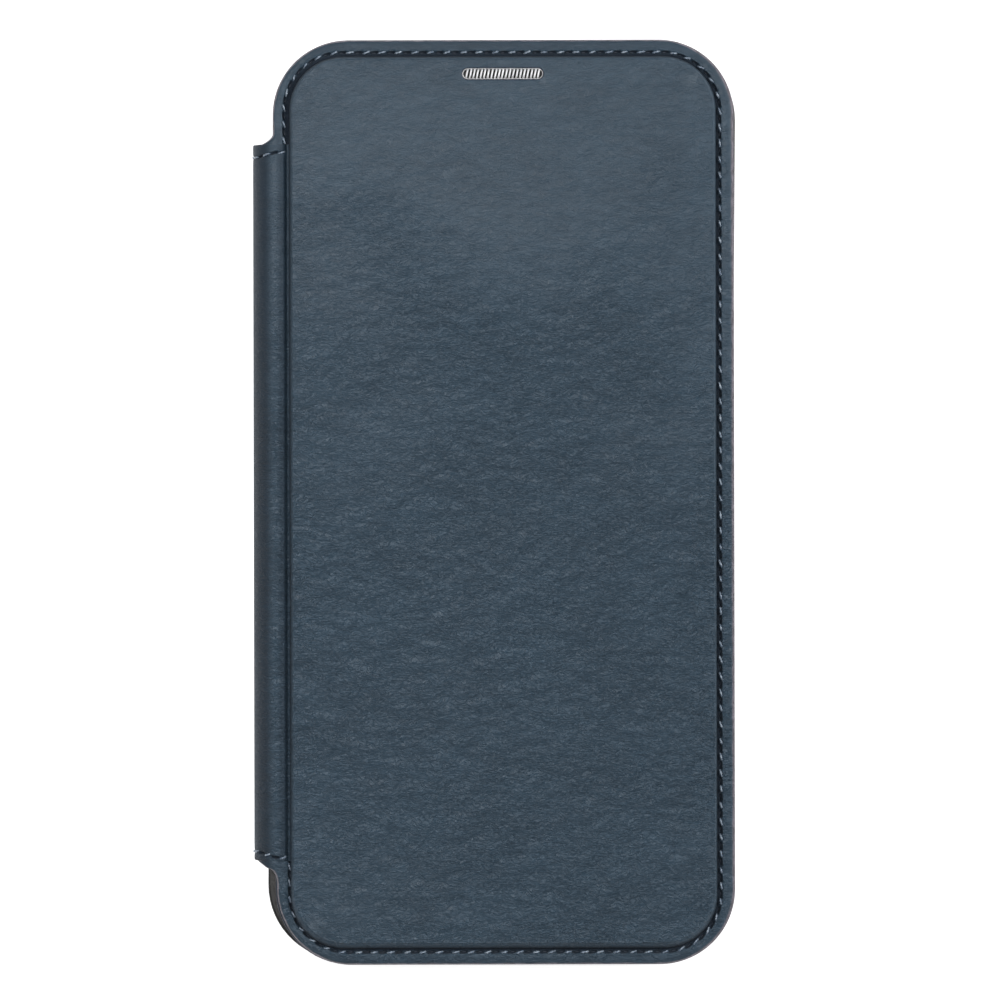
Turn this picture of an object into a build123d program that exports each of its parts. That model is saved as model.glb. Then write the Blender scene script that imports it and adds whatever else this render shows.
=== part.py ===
from build123d import *
import math
import os

# A folio wallet case for a phone, closed and lying on its back. Lengths are in millimetres.
# X runs across the case with the spine at -X, Y along it with the phone's top at +Y, and Z up
# through its thickness. The origin is the middle of the shell, in the plane that the back rests on.
#
# Three bodies fold like a book: the shell with the back, the spine, and the front cover.
# Three button pads slide in the walls of the shell.

# The phone that the case is cut for, and the space left round it
PHONE_WIDTH = 78.1
PHONE_LENGTH = 160.8
PHONE_THICKNESS = 7.6
PHONE_CORNER = 11.2
PHONE_SLACK = 0.2

# Sheet and board thicknesses
LEATHER = 0.8
LINING = 0.5
POCKET_SHEET = 0.5
BACK_BOARD = 0.6
COVER_BOARD = 0.9
FOAM = 0.6
SPINE_STIFFENER = 0.35
SPINE_LINING = 0.35

# Heights of the layers, from the back up
TRAY_FLOOR = 0.9
LIP_THICKNESS = 0.6
CLOSING_GAP = 0.3
BACK_TOP = LEATHER
BOARD_RECESS_TOP = BACK_TOP + BACK_BOARD
SEAT = BOARD_RECESS_TOP + TRAY_FLOOR
LIP_UNDER = SEAT + PHONE_THICKNESS
TRAY_TOP = LIP_UNDER + LIP_THICKNESS
FRONT_POCKET_FACE = TRAY_TOP + CLOSING_GAP
REAR_POCKET_FACE = FRONT_POCKET_FACE + POCKET_SHEET
CASH_POCKET_FACE = REAR_POCKET_FACE + POCKET_SHEET
LINING_FACE = CASH_POCKET_FACE + POCKET_SHEET
BORDER_UNDER = LINING_FACE + LINING
BORDER_TOP = BORDER_UNDER + LEATHER
COVER_BOARD_TOP = BORDER_UNDER + COVER_BOARD
FOAM_TOP = COVER_BOARD_TOP + FOAM
PANEL_TOP = FOAM_TOP + LEATHER

# The moulded shell. It is bonded a little out of square with the leather.
TRAY_SKEW = 0.5
TRAY_WIDTH = 83.2
TRAY_LENGTH = 165.4
TRAY_CORNER = 13.6
TRAY_LOWER_ROUND = 4.0
TRAY_UPPER_ROUND = 0.5
SEAT_WIDTH = PHONE_WIDTH + 2 * PHONE_SLACK
SEAT_LENGTH = PHONE_LENGTH + 2 * PHONE_SLACK
SEAT_LOWER_ROUND = 2.0
LIP_REACH = 0.6
WALL_MIDDLE = SEAT + PHONE_THICKNESS / 2
WALL_INNER = SEAT_WIDTH / 2
WALL_OUTER = TRAY_WIDTH / 2
BOARD_WIDTH = 73.0
BOARD_LENGTH = 155.0
BOARD_CORNER = 9.0

# The window for the phone's cameras, with a rim moulded on the shell
CAMERA_X = 16.8
CAMERA_Y = 56.6
CAMERA_WIDTH = 35.0
CAMERA_LENGTH = 37.0
CAMERA_CORNER = 9.0
BEZEL_RIM = 1.6
BEZEL_FACE = 0.15

# Openings in the walls of the shell
PORT_WIDTH = 13.0
OPENING_HEIGHT = 4.8
SPEAKER_HOLE = 1.8
SPEAKER_PITCH = 3.0
SPEAKER_COUNT = 5
SPEAKER_START = 11.0
MICROPHONE_HOLE = 1.4
WALL_CUT = 8.0

# Button pads, each a boss through the wall with a flange behind it
PAD_HEIGHT = 4.2
PAD_PROUD = 0.1
PAD_TRAVEL = 0.4
PAD_CLEARANCE = 0.3
FLANGE_MARGIN = 0.7
FLANGE_THICKNESS = 0.7
PAD_END_GAP = 0.1
FLANGE_BACKSET = PAD_TRAVEL + PAD_END_GAP
POWER_Y = 25.7
POWER_LENGTH = 18.4
VOLUME_UP_Y = 42.0
VOLUME_DOWN_Y = 27.0
VOLUME_LENGTH = 11.0

# Magnets in the cover, and the steel strips in the shell's wall that they hold to
MAGNET_X = 35.2
MAGNET_WIDTH = 4.0
MAGNET_LENGTH = 16.0
KEEPER_WIDTH = 1.0
KEEPER_LENGTH = 20.0
KEEPER_HEIGHT = 3.6
UPPER_CLASP_Y = 58.0
LOWER_CLASP_Y = -45.0

# The die-cut outline of the cover
COVER_X = 0.54
COVER_WIDTH = 82.72
COVER_LENGTH = 166.5
COVER_CORNER = 13.6

# The raised panel of the cover, and the channel pressed in round its foot
PANEL_X = 0.43
PANEL_Y = -0.05
PANEL_WIDTH = 76.54
PANEL_LENGTH = 160.6
PANEL_CORNER = 9.7
PANEL_ROUND = 1.0
CHANNEL_WIDTH = 0.25
CHANNEL_DEPTH = 0.25

# The spine: a rounded shoulder beside the front crease, and a bowed side down to the back
SPINE_LEFT = -44.7
SPINE_LENGTH = 128.8
SPINE_CREASE_END = -38.65
SPINE_REAR_END = 1.25
SHOULDER_RADIUS = 4.35
SHOULDER_TOP = 13.8
SHOULDER_X = SPINE_LEFT + SHOULDER_RADIUS
SHOULDER_Z = SHOULDER_TOP - SHOULDER_RADIUS
SIDE_RADIUS = 21.8
CREASE_GAP = 0.4
COVER_CREASE_END = SPINE_CREASE_END + CREASE_GAP
TAB_CLEARANCE = 0.3
TAB_START = SPINE_LENGTH / 2 + TAB_CLEARANCE

# The back leather
BACK_WIDTH = 77.2
BACK_LENGTH = 159.4
BACK_CORNER = 10.5
BACK_CREASE_END = -42.1

# Rows of stitches: each thread lies in a shallow groove
STITCH_PITCH = 2.9
STITCH_LENGTH = 1.8
STITCH_WIDTH = 0.65
STITCH_SUNK = 0.3
STITCH_PROUD = 0.1
GROOVE_WIDTH = 1.0
COVER_ROW_LEFT = -38.9
COVER_ROW_RIGHT = 39.3
COVER_ROW_TOP = 81.1
COVER_ROW_BOTTOM = -81.0
COVER_ROW_CORNER = 10.5
SPINE_ROW_TOP = 62.7
SPINE_ROW_BOTTOM = -63.3
BACK_ROW_X = 37.2
BACK_ROW_Y = 78.2
BACK_ROW_CORNER = 9.0
BACK_ROW_TURN = 3.5

# Pockets on the inner face of the cover. Cards stand upright and go in from the spine's side.
POCKET_CORNER = 6.0
POCKET_SEAM = 1.4
THUMB_RADIUS = 9.0
CARD_POCKET_RIGHT = 34.4
CARD_POCKET_BOTTOM = -28.0
CARD_POCKET_TOP = 62.0
FRONT_POCKET_WIDTH = 57.0
REAR_POCKET_WIDTH = 63.0
CASH_POCKET_LEFT = -33.4
CASH_POCKET_RIGHT = 37.0
CASH_POCKET_BOTTOM = -72.0
CASH_POCKET_TOP = 68.0

# The earpiece grille
GRILLE_X = 0.34
GRILLE_Y = 77.1
GRILLE_WIDTH = 14.5
GRILLE_HEIGHT = 1.9
GRILLE_THICKNESS = 0.45
GRILLE_BARS = 21
GRILLE_PITCH = 0.65
GRILLE_GAP = 0.33
GRILLE_GAP_HEIGHT = 1.25
GRILLE_SLANT = 12.0
GRILLE_FRAME_MARGIN = 1.2
SOUND_SLOT_WIDTH = 13.1
SOUND_SLOT_HEIGHT = 1.2

# Cutting tools run this far past the faces they cut
PAST = 1.0


def plate(width, length, corner, bottom, top, x=0.0, y=0.0):
    """A flat plate with rounded corners between two heights."""
    outline = Pos(x, y, bottom) * RectangleRounded(width, length, corner)
    return extrude(outline, amount=top - bottom)


def slab(left, right, lower, upper, bottom, top):
    """A square-cornered block between two planes on each axis."""
    middle = Pos((left + right) / 2, (lower + upper) / 2, (bottom + top) / 2)
    return middle * Box(right - left, upper - lower, top - bottom)


def slot(width, height, x, y, bottom, top):
    """A stadium-shaped plate, long along X."""
    outline = Pos(x, y, bottom) * SlotOverall(width, height)
    return extrude(outline, amount=top - bottom)


def side_slot(width, height, y, left, right):
    """A stadium-shaped plug that runs along X, level with the middle of the wall."""
    outline = Pos(left, y, WALL_MIDDLE) * (Plane.YZ * SlotOverall(width, height))
    return extrude(outline, amount=right - left)


def askew(shape):
    """Turns a shape with the shell, which sits out of square with the leather."""
    return Rot(0, 0, -TRAY_SKEW) * shape


def stitches(path, bottom, top):
    """Separate threads spaced evenly along a flat path."""
    count = round(path.length / STITCH_PITCH)
    thread = extrude(SlotOverall(STITCH_LENGTH, STITCH_WIDTH), amount=top - bottom)
    row = []
    for index in range(count):
        place = (index + 0.5) / count
        point = path @ place
        heading = path % place
        turn = math.degrees(math.atan2(heading.Y, heading.X))
        row.append(Pos(point.X, point.Y, bottom) * Rot(0, 0, turn) * thread)
    return row


def groove(path, bottom, top):
    """The channel that a flat row of stitches lies in."""
    return extrude(Pos(0, 0, bottom) * trace(path, GROOVE_WIDTH), amount=top - bottom)


# ---- paths of the stitch rows ----

def cover_row():
    """Round the cover's edge, from the tab above the spine to the tab below it."""
    return FilletPolyline(
        (COVER_ROW_LEFT, -TAB_START - PAST),
        (COVER_ROW_LEFT, COVER_ROW_BOTTOM),
        (COVER_ROW_RIGHT, COVER_ROW_BOTTOM),
        (COVER_ROW_RIGHT, COVER_ROW_TOP),
        (COVER_ROW_LEFT, COVER_ROW_TOP),
        (COVER_ROW_LEFT, TAB_START + PAST),
        radius=COVER_ROW_CORNER,
    )


def back_row():
    """Round the back, turning out to the spine at both of its ends."""
    crease = BACK_CREASE_END + PAST
    return FilletPolyline(
        (crease, SPINE_ROW_TOP),
        (-BACK_ROW_X, SPINE_ROW_TOP),
        (-BACK_ROW_X, BACK_ROW_Y),
        (BACK_ROW_X, BACK_ROW_Y),
        (BACK_ROW_X, -BACK_ROW_Y),
        (-BACK_ROW_X, -BACK_ROW_Y),
        (-BACK_ROW_X, SPINE_ROW_BOTTOM),
        (crease, SPINE_ROW_BOTTOM),
        radius=[BACK_ROW_TURN] + [BACK_ROW_CORNER] * 4 + [BACK_ROW_TURN],
    )


def pocket_row(left, right, lower, upper):
    """Round three sides of a pocket, leaving the side by the spine open."""
    return FilletPolyline(
        (left + POCKET_SEAM, upper - POCKET_SEAM),
        (right - POCKET_SEAM, upper - POCKET_SEAM),
        (right - POCKET_SEAM, lower + POCKET_SEAM),
        (left + POCKET_SEAM, lower + POCKET_SEAM),
        radius=POCKET_CORNER - POCKET_SEAM,
    )


def card_row():
    left = CARD_POCKET_RIGHT - FRONT_POCKET_WIDTH
    return pocket_row(left, CARD_POCKET_RIGHT, CARD_POCKET_BOTTOM, CARD_POCKET_TOP)


def cash_row():
    return pocket_row(CASH_POCKET_LEFT, CASH_POCKET_RIGHT, CASH_POCKET_BOTTOM, CASH_POCKET_TOP)


# ---- the shell and what is in it ----

def camera_window(bottom, top):
    return plate(CAMERA_WIDTH, CAMERA_LENGTH, CAMERA_CORNER, bottom, top, CAMERA_X, CAMERA_Y)


def camera_bezel(bottom, top):
    """The outer outline of the rim round the camera window."""
    width = CAMERA_WIDTH + 2 * BEZEL_RIM
    length = CAMERA_LENGTH + 2 * BEZEL_RIM
    return plate(width, length, CAMERA_CORNER + BEZEL_RIM, bottom, top, CAMERA_X, CAMERA_Y)


def phone_space():
    """The room for the phone, and the mouth inside the lip that holds it."""
    seat = plate(SEAT_WIDTH, SEAT_LENGTH, PHONE_CORNER, SEAT, LIP_UNDER)
    seat = fillet(seat.faces().sort_by(Axis.Z)[0].edges(), SEAT_LOWER_ROUND)
    narrower = 2 * LIP_REACH
    corner = PHONE_CORNER - LIP_REACH
    mouth = plate(SEAT_WIDTH - narrower, SEAT_LENGTH - narrower, corner, LIP_UNDER, TRAY_TOP)
    return seat + mouth


def end_hole(diameter, x, end):
    """A round hole along Y through one end wall. end is 1 for the top and -1 for the bottom."""
    hole = Rot(90, 0, 0) * Cylinder(diameter / 2, WALL_CUT)
    return Pos(x, end * TRAY_LENGTH / 2, WALL_MIDDLE) * hole


def end_openings():
    """Charging port and speaker holes at the bottom, and a microphone hole at the top."""
    outline = Plane.XZ * SlotOverall(PORT_WIDTH, OPENING_HEIGHT)
    port = extrude(Pos(0, -TRAY_LENGTH / 2, WALL_MIDDLE) * outline, amount=WALL_CUT / 2, both=True)
    openings = [port, end_hole(MICROPHONE_HOLE, 0, 1)]
    for side in (-1, 1):
        for index in range(SPEAKER_COUNT):
            x = side * (SPEAKER_START + index * SPEAKER_PITCH)
            openings.append(end_hole(SPEAKER_HOLE, x, -1))
    return openings


def pad_opening(y, length):
    """The window and inner recess of a button in the right-hand wall."""
    flange_length = length + 2 * FLANGE_MARGIN + 2 * PAD_CLEARANCE
    flange_height = PAD_HEIGHT + 2 * FLANGE_MARGIN + 2 * PAD_CLEARANCE
    recess_floor = WALL_INNER + FLANGE_BACKSET + FLANGE_THICKNESS + PAD_CLEARANCE
    recess = side_slot(flange_length, flange_height, y, WALL_INNER - PAST, recess_floor)
    window_length = length + 2 * PAD_CLEARANCE
    window_height = PAD_HEIGHT + 2 * PAD_CLEARANCE
    window = side_slot(window_length, window_height, y, WALL_INNER - PAST, WALL_OUTER + PAST)
    return recess + window


def button_pad(y, length):
    """A pressed pad in the right-hand wall, at rest."""
    flange_inner = WALL_INNER + FLANGE_BACKSET
    flange_outer = flange_inner + FLANGE_THICKNESS
    flange_length = length + 2 * FLANGE_MARGIN
    flange = side_slot(flange_length, PAD_HEIGHT + 2 * FLANGE_MARGIN, y, flange_inner, flange_outer)
    boss = side_slot(length, PAD_HEIGHT, y, flange_outer, WALL_OUTER + PAD_PROUD)
    boss = fillet(boss.faces().sort_by(Axis.X)[-1].edges(), PAD_PROUD / 2)
    return flange + boss


def in_left_wall(shape):
    """Mirrors a shape made for the right-hand wall to the wall beside the spine."""
    return mirror(shape, about=Plane.YZ)


def keeper(y):
    middle = (WALL_INNER + WALL_OUTER) / 2
    return Pos(middle, y, WALL_MIDDLE) * Box(KEEPER_WIDTH, KEEPER_LENGTH, KEEPER_HEIGHT)


def phone_tray():
    shell = plate(TRAY_WIDTH, TRAY_LENGTH, TRAY_CORNER, BACK_TOP, TRAY_TOP)
    shell = fillet(shell.faces().sort_by(Axis.Z)[0].edges(), TRAY_LOWER_ROUND)
    shell = fillet(shell.faces().sort_by(Axis.Z)[-1].edges(), TRAY_UPPER_ROUND)
    tray = shell + camera_bezel(BEZEL_FACE, SEAT)
    tray -= phone_space()
    tray -= back_board_blank() - camera_bezel(BEZEL_FACE, SEAT)
    tray -= camera_window(BEZEL_FACE - PAST, SEAT + PAST)
    for opening in end_openings():
        tray -= opening
    tray -= pad_opening(POWER_Y, POWER_LENGTH)
    tray -= in_left_wall(pad_opening(VOLUME_UP_Y, VOLUME_LENGTH))
    tray -= in_left_wall(pad_opening(VOLUME_DOWN_Y, VOLUME_LENGTH))
    tray -= keeper(UPPER_CLASP_Y)
    tray -= keeper(LOWER_CLASP_Y)
    return askew(tray)


# ---- the back ----

def back_board_blank():
    return plate(BOARD_WIDTH, BOARD_LENGTH, BOARD_CORNER, BACK_TOP, BOARD_RECESS_TOP)


def back_board():
    """A stiffener let into the underside of the shell."""
    return askew(back_board_blank() - camera_bezel(BEZEL_FACE, SEAT))


def back_leather():
    half_spine = SPINE_LENGTH / 2
    sheet = plate(BACK_WIDTH, BACK_LENGTH, BACK_CORNER, 0, BACK_TOP)
    sheet += slab(BACK_CREASE_END, 0, -half_spine, half_spine, 0, BACK_TOP)
    sheet -= askew(camera_bezel(-PAST, BACK_TOP + PAST))
    return sheet - groove(back_row(), 0, STITCH_SUNK)


def back_stitching():
    return Compound(children=stitches(back_row(), 0, STITCH_SUNK))


# ---- the spine ----

def spine_core(inset):
    """Everything inside the spine's curved outer surface, moved in by an inset."""
    upright = Rot(90, 0, 0)
    half_length = SPINE_LENGTH / 2
    shoulder = Pos(SHOULDER_X, 0, SHOULDER_Z) * upright * Cylinder(SHOULDER_RADIUS - inset, SPINE_LENGTH)
    side_x = SPINE_LEFT + SIDE_RADIUS
    side = Pos(side_x, 0, SHOULDER_Z) * upright * Cylinder(SIDE_RADIUS - inset, SPINE_LENGTH)
    left = SPINE_LEFT - PAST
    above = slab(left, SPINE_CREASE_END, -half_length, half_length, SHOULDER_Z, SHOULDER_TOP + PAST)
    below = slab(left, SHOULDER_X, -half_length, half_length, SPINE_REAR_END, SHOULDER_Z)
    return (shoulder & above) + (side & below)


def spine_layer(outer_inset, thickness):
    return spine_core(outer_inset) - spine_core(outer_inset + thickness)


def spine_row():
    """The line that a row of stitches follows over the spine, in the plane Y = 0."""
    start = math.degrees(math.acos((SPINE_CREASE_END - SHOULDER_X) / SHOULDER_RADIUS))
    sweep = math.degrees(math.asin((SHOULDER_Z - SPINE_REAR_END) / SIDE_RADIUS))
    shoulder = CenterArc((SHOULDER_X, SHOULDER_Z), SHOULDER_RADIUS, start, 180 - start)
    side = CenterArc((SPINE_LEFT + SIDE_RADIUS, SHOULDER_Z), SIDE_RADIUS, 180, sweep)
    return Wire(shoulder.edges() + side.edges())


def spine_threads():
    """Threads that run round the spine near both of its ends."""
    path = spine_row()
    count = round(path.length / STITCH_PITCH)
    height = STITCH_SUNK + STITCH_PROUD
    thread = Pos(0, STITCH_SUNK - height / 2, 0) * Box(STITCH_LENGTH, height, STITCH_WIDTH)
    threads = []
    for index in range(count):
        place = (index + 0.5) / count
        point = path @ place
        heading = path % place
        turn = math.degrees(math.atan2(heading.Y, heading.X))
        flat = Pos(point.X, point.Y, 0) * Rot(0, 0, turn) * thread
        for y in (SPINE_ROW_TOP, SPINE_ROW_BOTTOM):
            threads.append(Pos(0, y, 0) * Rot(90, 0, 0) * flat)
    return threads


def spine_leather():
    sheet = spine_layer(0, LEATHER)
    for thread in spine_threads():
        sheet -= thread
    return sheet


def spine_stiffener():
    return spine_layer(LEATHER, SPINE_STIFFENER)


def spine_lining():
    return spine_layer(LEATHER + SPINE_STIFFENER, SPINE_LINING)


def spine_stitching():
    return Compound(children=spine_threads())


# ---- the cover ----

def cover_sheet(bottom, top):
    """The die-cut outline of the cover, cut back to the crease beside the spine."""
    sheet = plate(COVER_WIDTH, COVER_LENGTH, COVER_CORNER, bottom, top, COVER_X)
    beside_spine = slab(-COVER_WIDTH, COVER_CREASE_END, -TAB_START, TAB_START, bottom, top)
    return sheet - beside_spine


def panel(margin, bottom, top):
    """A plate with the outline of the raised panel, larger by a margin all round."""
    width = PANEL_WIDTH + 2 * margin
    length = PANEL_LENGTH + 2 * margin
    return plate(width, length, PANEL_CORNER + margin, bottom, top, PANEL_X, PANEL_Y)


def sound_slot(bottom, top):
    return slot(SOUND_SLOT_WIDTH, SOUND_SLOT_HEIGHT, GRILLE_X, GRILLE_Y, bottom, top)


def grille_frame_blank():
    width = GRILLE_WIDTH + 2 * GRILLE_FRAME_MARGIN
    height = GRILLE_HEIGHT + 2 * GRILLE_FRAME_MARGIN
    return slot(width, height, GRILLE_X, GRILLE_Y, COVER_BOARD_TOP, FOAM_TOP)


def magnet(y):
    middle = (BORDER_UNDER + COVER_BOARD_TOP) / 2
    return Pos(MAGNET_X, y, middle) * Box(MAGNET_WIDTH, MAGNET_LENGTH, COVER_BOARD)


def cover_leather():
    raised = panel(0, BORDER_UNDER, PANEL_TOP)
    raised = fillet(raised.faces().sort_by(Axis.Z)[-1].edges(), PANEL_ROUND)
    channel_floor = BORDER_TOP - CHANNEL_DEPTH
    sheet = cover_sheet(BORDER_UNDER, BORDER_TOP)
    sheet -= panel(CHANNEL_WIDTH, channel_floor, BORDER_TOP)
    sheet += raised
    sheet -= panel(-LEATHER, BORDER_UNDER, FOAM_TOP)
    sheet -= slot(GRILLE_WIDTH, GRILLE_HEIGHT, GRILLE_X, GRILLE_Y, FOAM_TOP, PANEL_TOP)
    return sheet - groove(cover_row(), BORDER_TOP - STITCH_SUNK, BORDER_TOP)


def cover_foam():
    return panel(-LEATHER, COVER_BOARD_TOP, FOAM_TOP) - grille_frame_blank()


def cover_board():
    board = panel(-LEATHER, BORDER_UNDER, COVER_BOARD_TOP)
    board -= sound_slot(BORDER_UNDER, COVER_BOARD_TOP)
    board -= magnet(UPPER_CLASP_Y)
    return board - magnet(LOWER_CLASP_Y)


def cover_lining():
    return cover_sheet(LINING_FACE, BORDER_UNDER) - sound_slot(LINING_FACE, BORDER_UNDER)


def cover_stitching():
    return Compound(children=stitches(cover_row(), BORDER_TOP - STITCH_SUNK, BORDER_TOP + STITCH_PROUD))


def speaker_grille():
    """A metal strip with slanted gaps between its bars."""
    top = FOAM_TOP + GRILLE_THICKNESS
    strip = slot(GRILLE_WIDTH, GRILLE_HEIGHT, GRILLE_X, GRILLE_Y, FOAM_TOP, top)
    gap = Rot(0, 0, -GRILLE_SLANT) * Box(GRILLE_GAP, GRILLE_GAP_HEIGHT, 2 * GRILLE_THICKNESS)
    first = GRILLE_X - (GRILLE_BARS - 2) * GRILLE_PITCH / 2
    for index in range(GRILLE_BARS - 1):
        strip -= Pos(first + index * GRILLE_PITCH, GRILLE_Y, (FOAM_TOP + top) / 2) * gap
    return strip


def grille_frame():
    """The carrier behind the grille, let into the foam."""
    return grille_frame_blank() - sound_slot(COVER_BOARD_TOP, FOAM_TOP)


# ---- the pockets ----

def pocket(left, right, lower, upper, face):
    """A flat pocket sheet with its lower face at the given height."""
    middle_x = (left + right) / 2
    middle_y = (lower + upper) / 2
    top = face + POCKET_SHEET
    return plate(right - left, upper - lower, POCKET_CORNER, face, top, middle_x, middle_y)


def card_pocket(width, face):
    """A card pocket with a thumb cut-out in its open side."""
    left = CARD_POCKET_RIGHT - width
    sheet = pocket(left, CARD_POCKET_RIGHT, CARD_POCKET_BOTTOM, CARD_POCKET_TOP, face)
    middle = Pos(left, (CARD_POCKET_BOTTOM + CARD_POCKET_TOP) / 2, face + POCKET_SHEET / 2)
    return sheet - middle * Cylinder(THUMB_RADIUS, 2 * POCKET_SHEET)


def card_pocket_front():
    sheet = card_pocket(FRONT_POCKET_WIDTH, FRONT_POCKET_FACE)
    return sheet - groove(card_row(), FRONT_POCKET_FACE, FRONT_POCKET_FACE + STITCH_SUNK)


def card_pocket_rear():
    return card_pocket(REAR_POCKET_WIDTH, REAR_POCKET_FACE)


def cash_pocket():
    sheet = pocket(
        CASH_POCKET_LEFT, CASH_POCKET_RIGHT, CASH_POCKET_BOTTOM, CASH_POCKET_TOP, CASH_POCKET_FACE
    )
    return sheet - groove(cash_row(), CASH_POCKET_FACE, CASH_POCKET_FACE + STITCH_SUNK)


def pocket_stitching():
    cards = stitches(card_row(), FRONT_POCKET_FACE, FRONT_POCKET_FACE + STITCH_SUNK)
    cash = stitches(cash_row(), CASH_POCKET_FACE, CASH_POCKET_FACE + STITCH_SUNK)
    return Compound(children=cards + cash)


NODES = {
    "phone_tray": phone_tray(),
    "keeper_upper": askew(keeper(UPPER_CLASP_Y)),
    "keeper_lower": askew(keeper(LOWER_CLASP_Y)),
    "power_button": askew(button_pad(POWER_Y, POWER_LENGTH)),
    "volume_up_button": askew(in_left_wall(button_pad(VOLUME_UP_Y, VOLUME_LENGTH))),
    "volume_down_button": askew(in_left_wall(button_pad(VOLUME_DOWN_Y, VOLUME_LENGTH))),
    "back_board": back_board(),
    "back_leather": back_leather(),
    "back_stitching": back_stitching(),
    "spine_leather": spine_leather(),
    "spine_stiffener": spine_stiffener(),
    "spine_lining": spine_lining(),
    "spine_stitching": spine_stitching(),
    "cover_leather": cover_leather(),
    "cover_foam": cover_foam(),
    "cover_board": cover_board(),
    "cover_lining": cover_lining(),
    "cover_stitching": cover_stitching(),
    "magnet_upper": magnet(UPPER_CLASP_Y),
    "magnet_lower": magnet(LOWER_CLASP_Y),
    "speaker_grille": speaker_grille(),
    "grille_frame": grille_frame(),
    "cash_pocket": cash_pocket(),
    "card_pocket_rear": card_pocket_rear(),
    "card_pocket_front": card_pocket_front(),
    "pocket_stitching": pocket_stitching(),
}

os.makedirs("parts", exist_ok=True)
for name, shape in NODES.items():
    export_step(shape, f"parts/{name}.step")
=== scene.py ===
import math
import random

import bmesh
import bpy
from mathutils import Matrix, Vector, geometry


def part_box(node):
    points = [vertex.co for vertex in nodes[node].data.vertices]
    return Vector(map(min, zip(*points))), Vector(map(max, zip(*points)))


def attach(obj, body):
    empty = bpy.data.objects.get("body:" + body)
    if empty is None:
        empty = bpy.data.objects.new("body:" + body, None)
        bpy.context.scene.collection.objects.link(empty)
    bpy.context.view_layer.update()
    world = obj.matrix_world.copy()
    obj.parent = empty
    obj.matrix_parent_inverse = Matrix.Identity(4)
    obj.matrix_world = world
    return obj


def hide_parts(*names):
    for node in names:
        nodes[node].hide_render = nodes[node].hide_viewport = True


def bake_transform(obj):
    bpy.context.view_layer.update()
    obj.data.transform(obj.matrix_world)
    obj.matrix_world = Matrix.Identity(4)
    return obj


# Looks for the folio wallet case. Shapes are worked out in millimetres, in the CAD's frame,
# and turned to metres where a mesh is made.
MM = 0.001
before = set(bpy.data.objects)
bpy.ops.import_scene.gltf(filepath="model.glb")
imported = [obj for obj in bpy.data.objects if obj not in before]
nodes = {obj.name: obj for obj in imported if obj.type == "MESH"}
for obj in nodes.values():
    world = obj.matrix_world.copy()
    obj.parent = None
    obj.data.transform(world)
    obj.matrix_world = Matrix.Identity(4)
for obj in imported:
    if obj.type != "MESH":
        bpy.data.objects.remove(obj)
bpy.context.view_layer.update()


def box_mm(name):
    """Lowest and highest corners of a CAD node in millimetres."""
    low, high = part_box(name)
    return low / MM, high / MM


# ---- what the CAD says ----
COVER_LOW, COVER_HIGH = box_mm("cover_leather")
SPINE_LOW, SPINE_HIGH = box_mm("spine_leather")
BACK_LOW, BACK_HIGH = box_mm("back_leather")
FOAM_LOW, FOAM_HIGH = box_mm("cover_foam")
GRILLE_LOW, GRILLE_HIGH = box_mm("speaker_grille")
BORDER_UNDER = box_mm("cover_board")[0].z

# ---- the cover: a shape is its left, right, lower and upper side and its corner radius ----
LEATHER = 0.8
COVER_CORNER = 13.6
PANEL_CORNER = 9.7
ROW_CORNER = 10.5
CREASE_SLACK = 0.25
PANEL = (FOAM_LOW.x - LEATHER - CREASE_SLACK, FOAM_HIGH.x + LEATHER,
         FOAM_LOW.y - LEATHER, FOAM_HIGH.y + LEATHER, PANEL_CORNER)
COVER = (COVER_LOW.x, COVER_HIGH.x, COVER_LOW.y, COVER_HIGH.y, COVER_CORNER)
COVER_ROW = (-38.7, 39.4, -81.0, 81.0, ROW_CORNER)
ROW_DRIFT = 0.35
EDGE_DRIFT = 0.25
PANEL_TOP = COVER_HIGH.z
BORDER_TOP = BORDER_UNDER + LEATHER
CHANNEL_FLOOR = BORDER_TOP - 0.5
CEILING = PANEL_TOP - LEATHER - 0.2
SPINE_HALF = SPINE_HIGH.y
TAB_START = SPINE_HALF + 0.12
COLUMN = 0.25
PANEL_GRID = 1.6
HIDDEN_GRID = 8.0

# ---- the panel's swell and its soft rim ----
CROWN = 0.16
RIPPLE = 0.02
PANEL_SLACK = 0.1
ROLL_OFF = 5.0
ROLL_DEPTH = 0.07
INSETS = (1.2, 1.05)
RIM_ACROSS = 0.66
RIM_SLACK = 0.95
RIM_PULL = 0.2
RIM_TURNS = (88, 84, 79, 73, 64, 55, 46, 37, 28, 19, 10, 3)

# ---- the channel and the border, measured out from the panel's foot ----
FOOT_OUT = 0.04
CHANNEL_START = 0.07
CREASE_REACH = 0.12
CREASE_DROP = 0.14
BAND = (-0.46, -0.33, -0.23, -0.14, -0.06, 0.03, 0.12, 0.21, 0.31, 0.45)
BORDER_SHARES = (0.25, 0.55, 0.8)
BORDER_SWELL = 0.05
# Each row of the cut edge: its inset, its share of the wave, its drop and its paint.
CUT_EDGE = ((0.36, 1, 0.01, 0.0), (0.26, 1, 0.09, 0.5), (0.19, 1, 0.22, 1.0), (0.06, 0.5, 0.5, 1.0),
            (0.0, 0, LEATHER - 0.02, 1.0))

# ---- the tabs: how far left they reach, and their lengths past the ends of the spine ----
TAB_NECK = 41.0
TAB_FLARE = 2.0
UPPER_TAB = 2.2
TIP_SIDE = 44.0
HORN_SIDE = 42.2
HORN_HOLLOW = 1.65
TAB_TIP = 1.4
LOWER_TAB = 4.2
WRAP_X = -39.3
WRAP_LENGTH = 5.0

# ---- how much painted shade lies in the crease, round the shoulder, over the tabs and along the upper and lower borders ----
CREASE_SHADE = 0.5
SHOULDER_SHADE = 0.74
END_SHADE = 0.2
SHADE_LENGTH = 4.0

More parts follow.
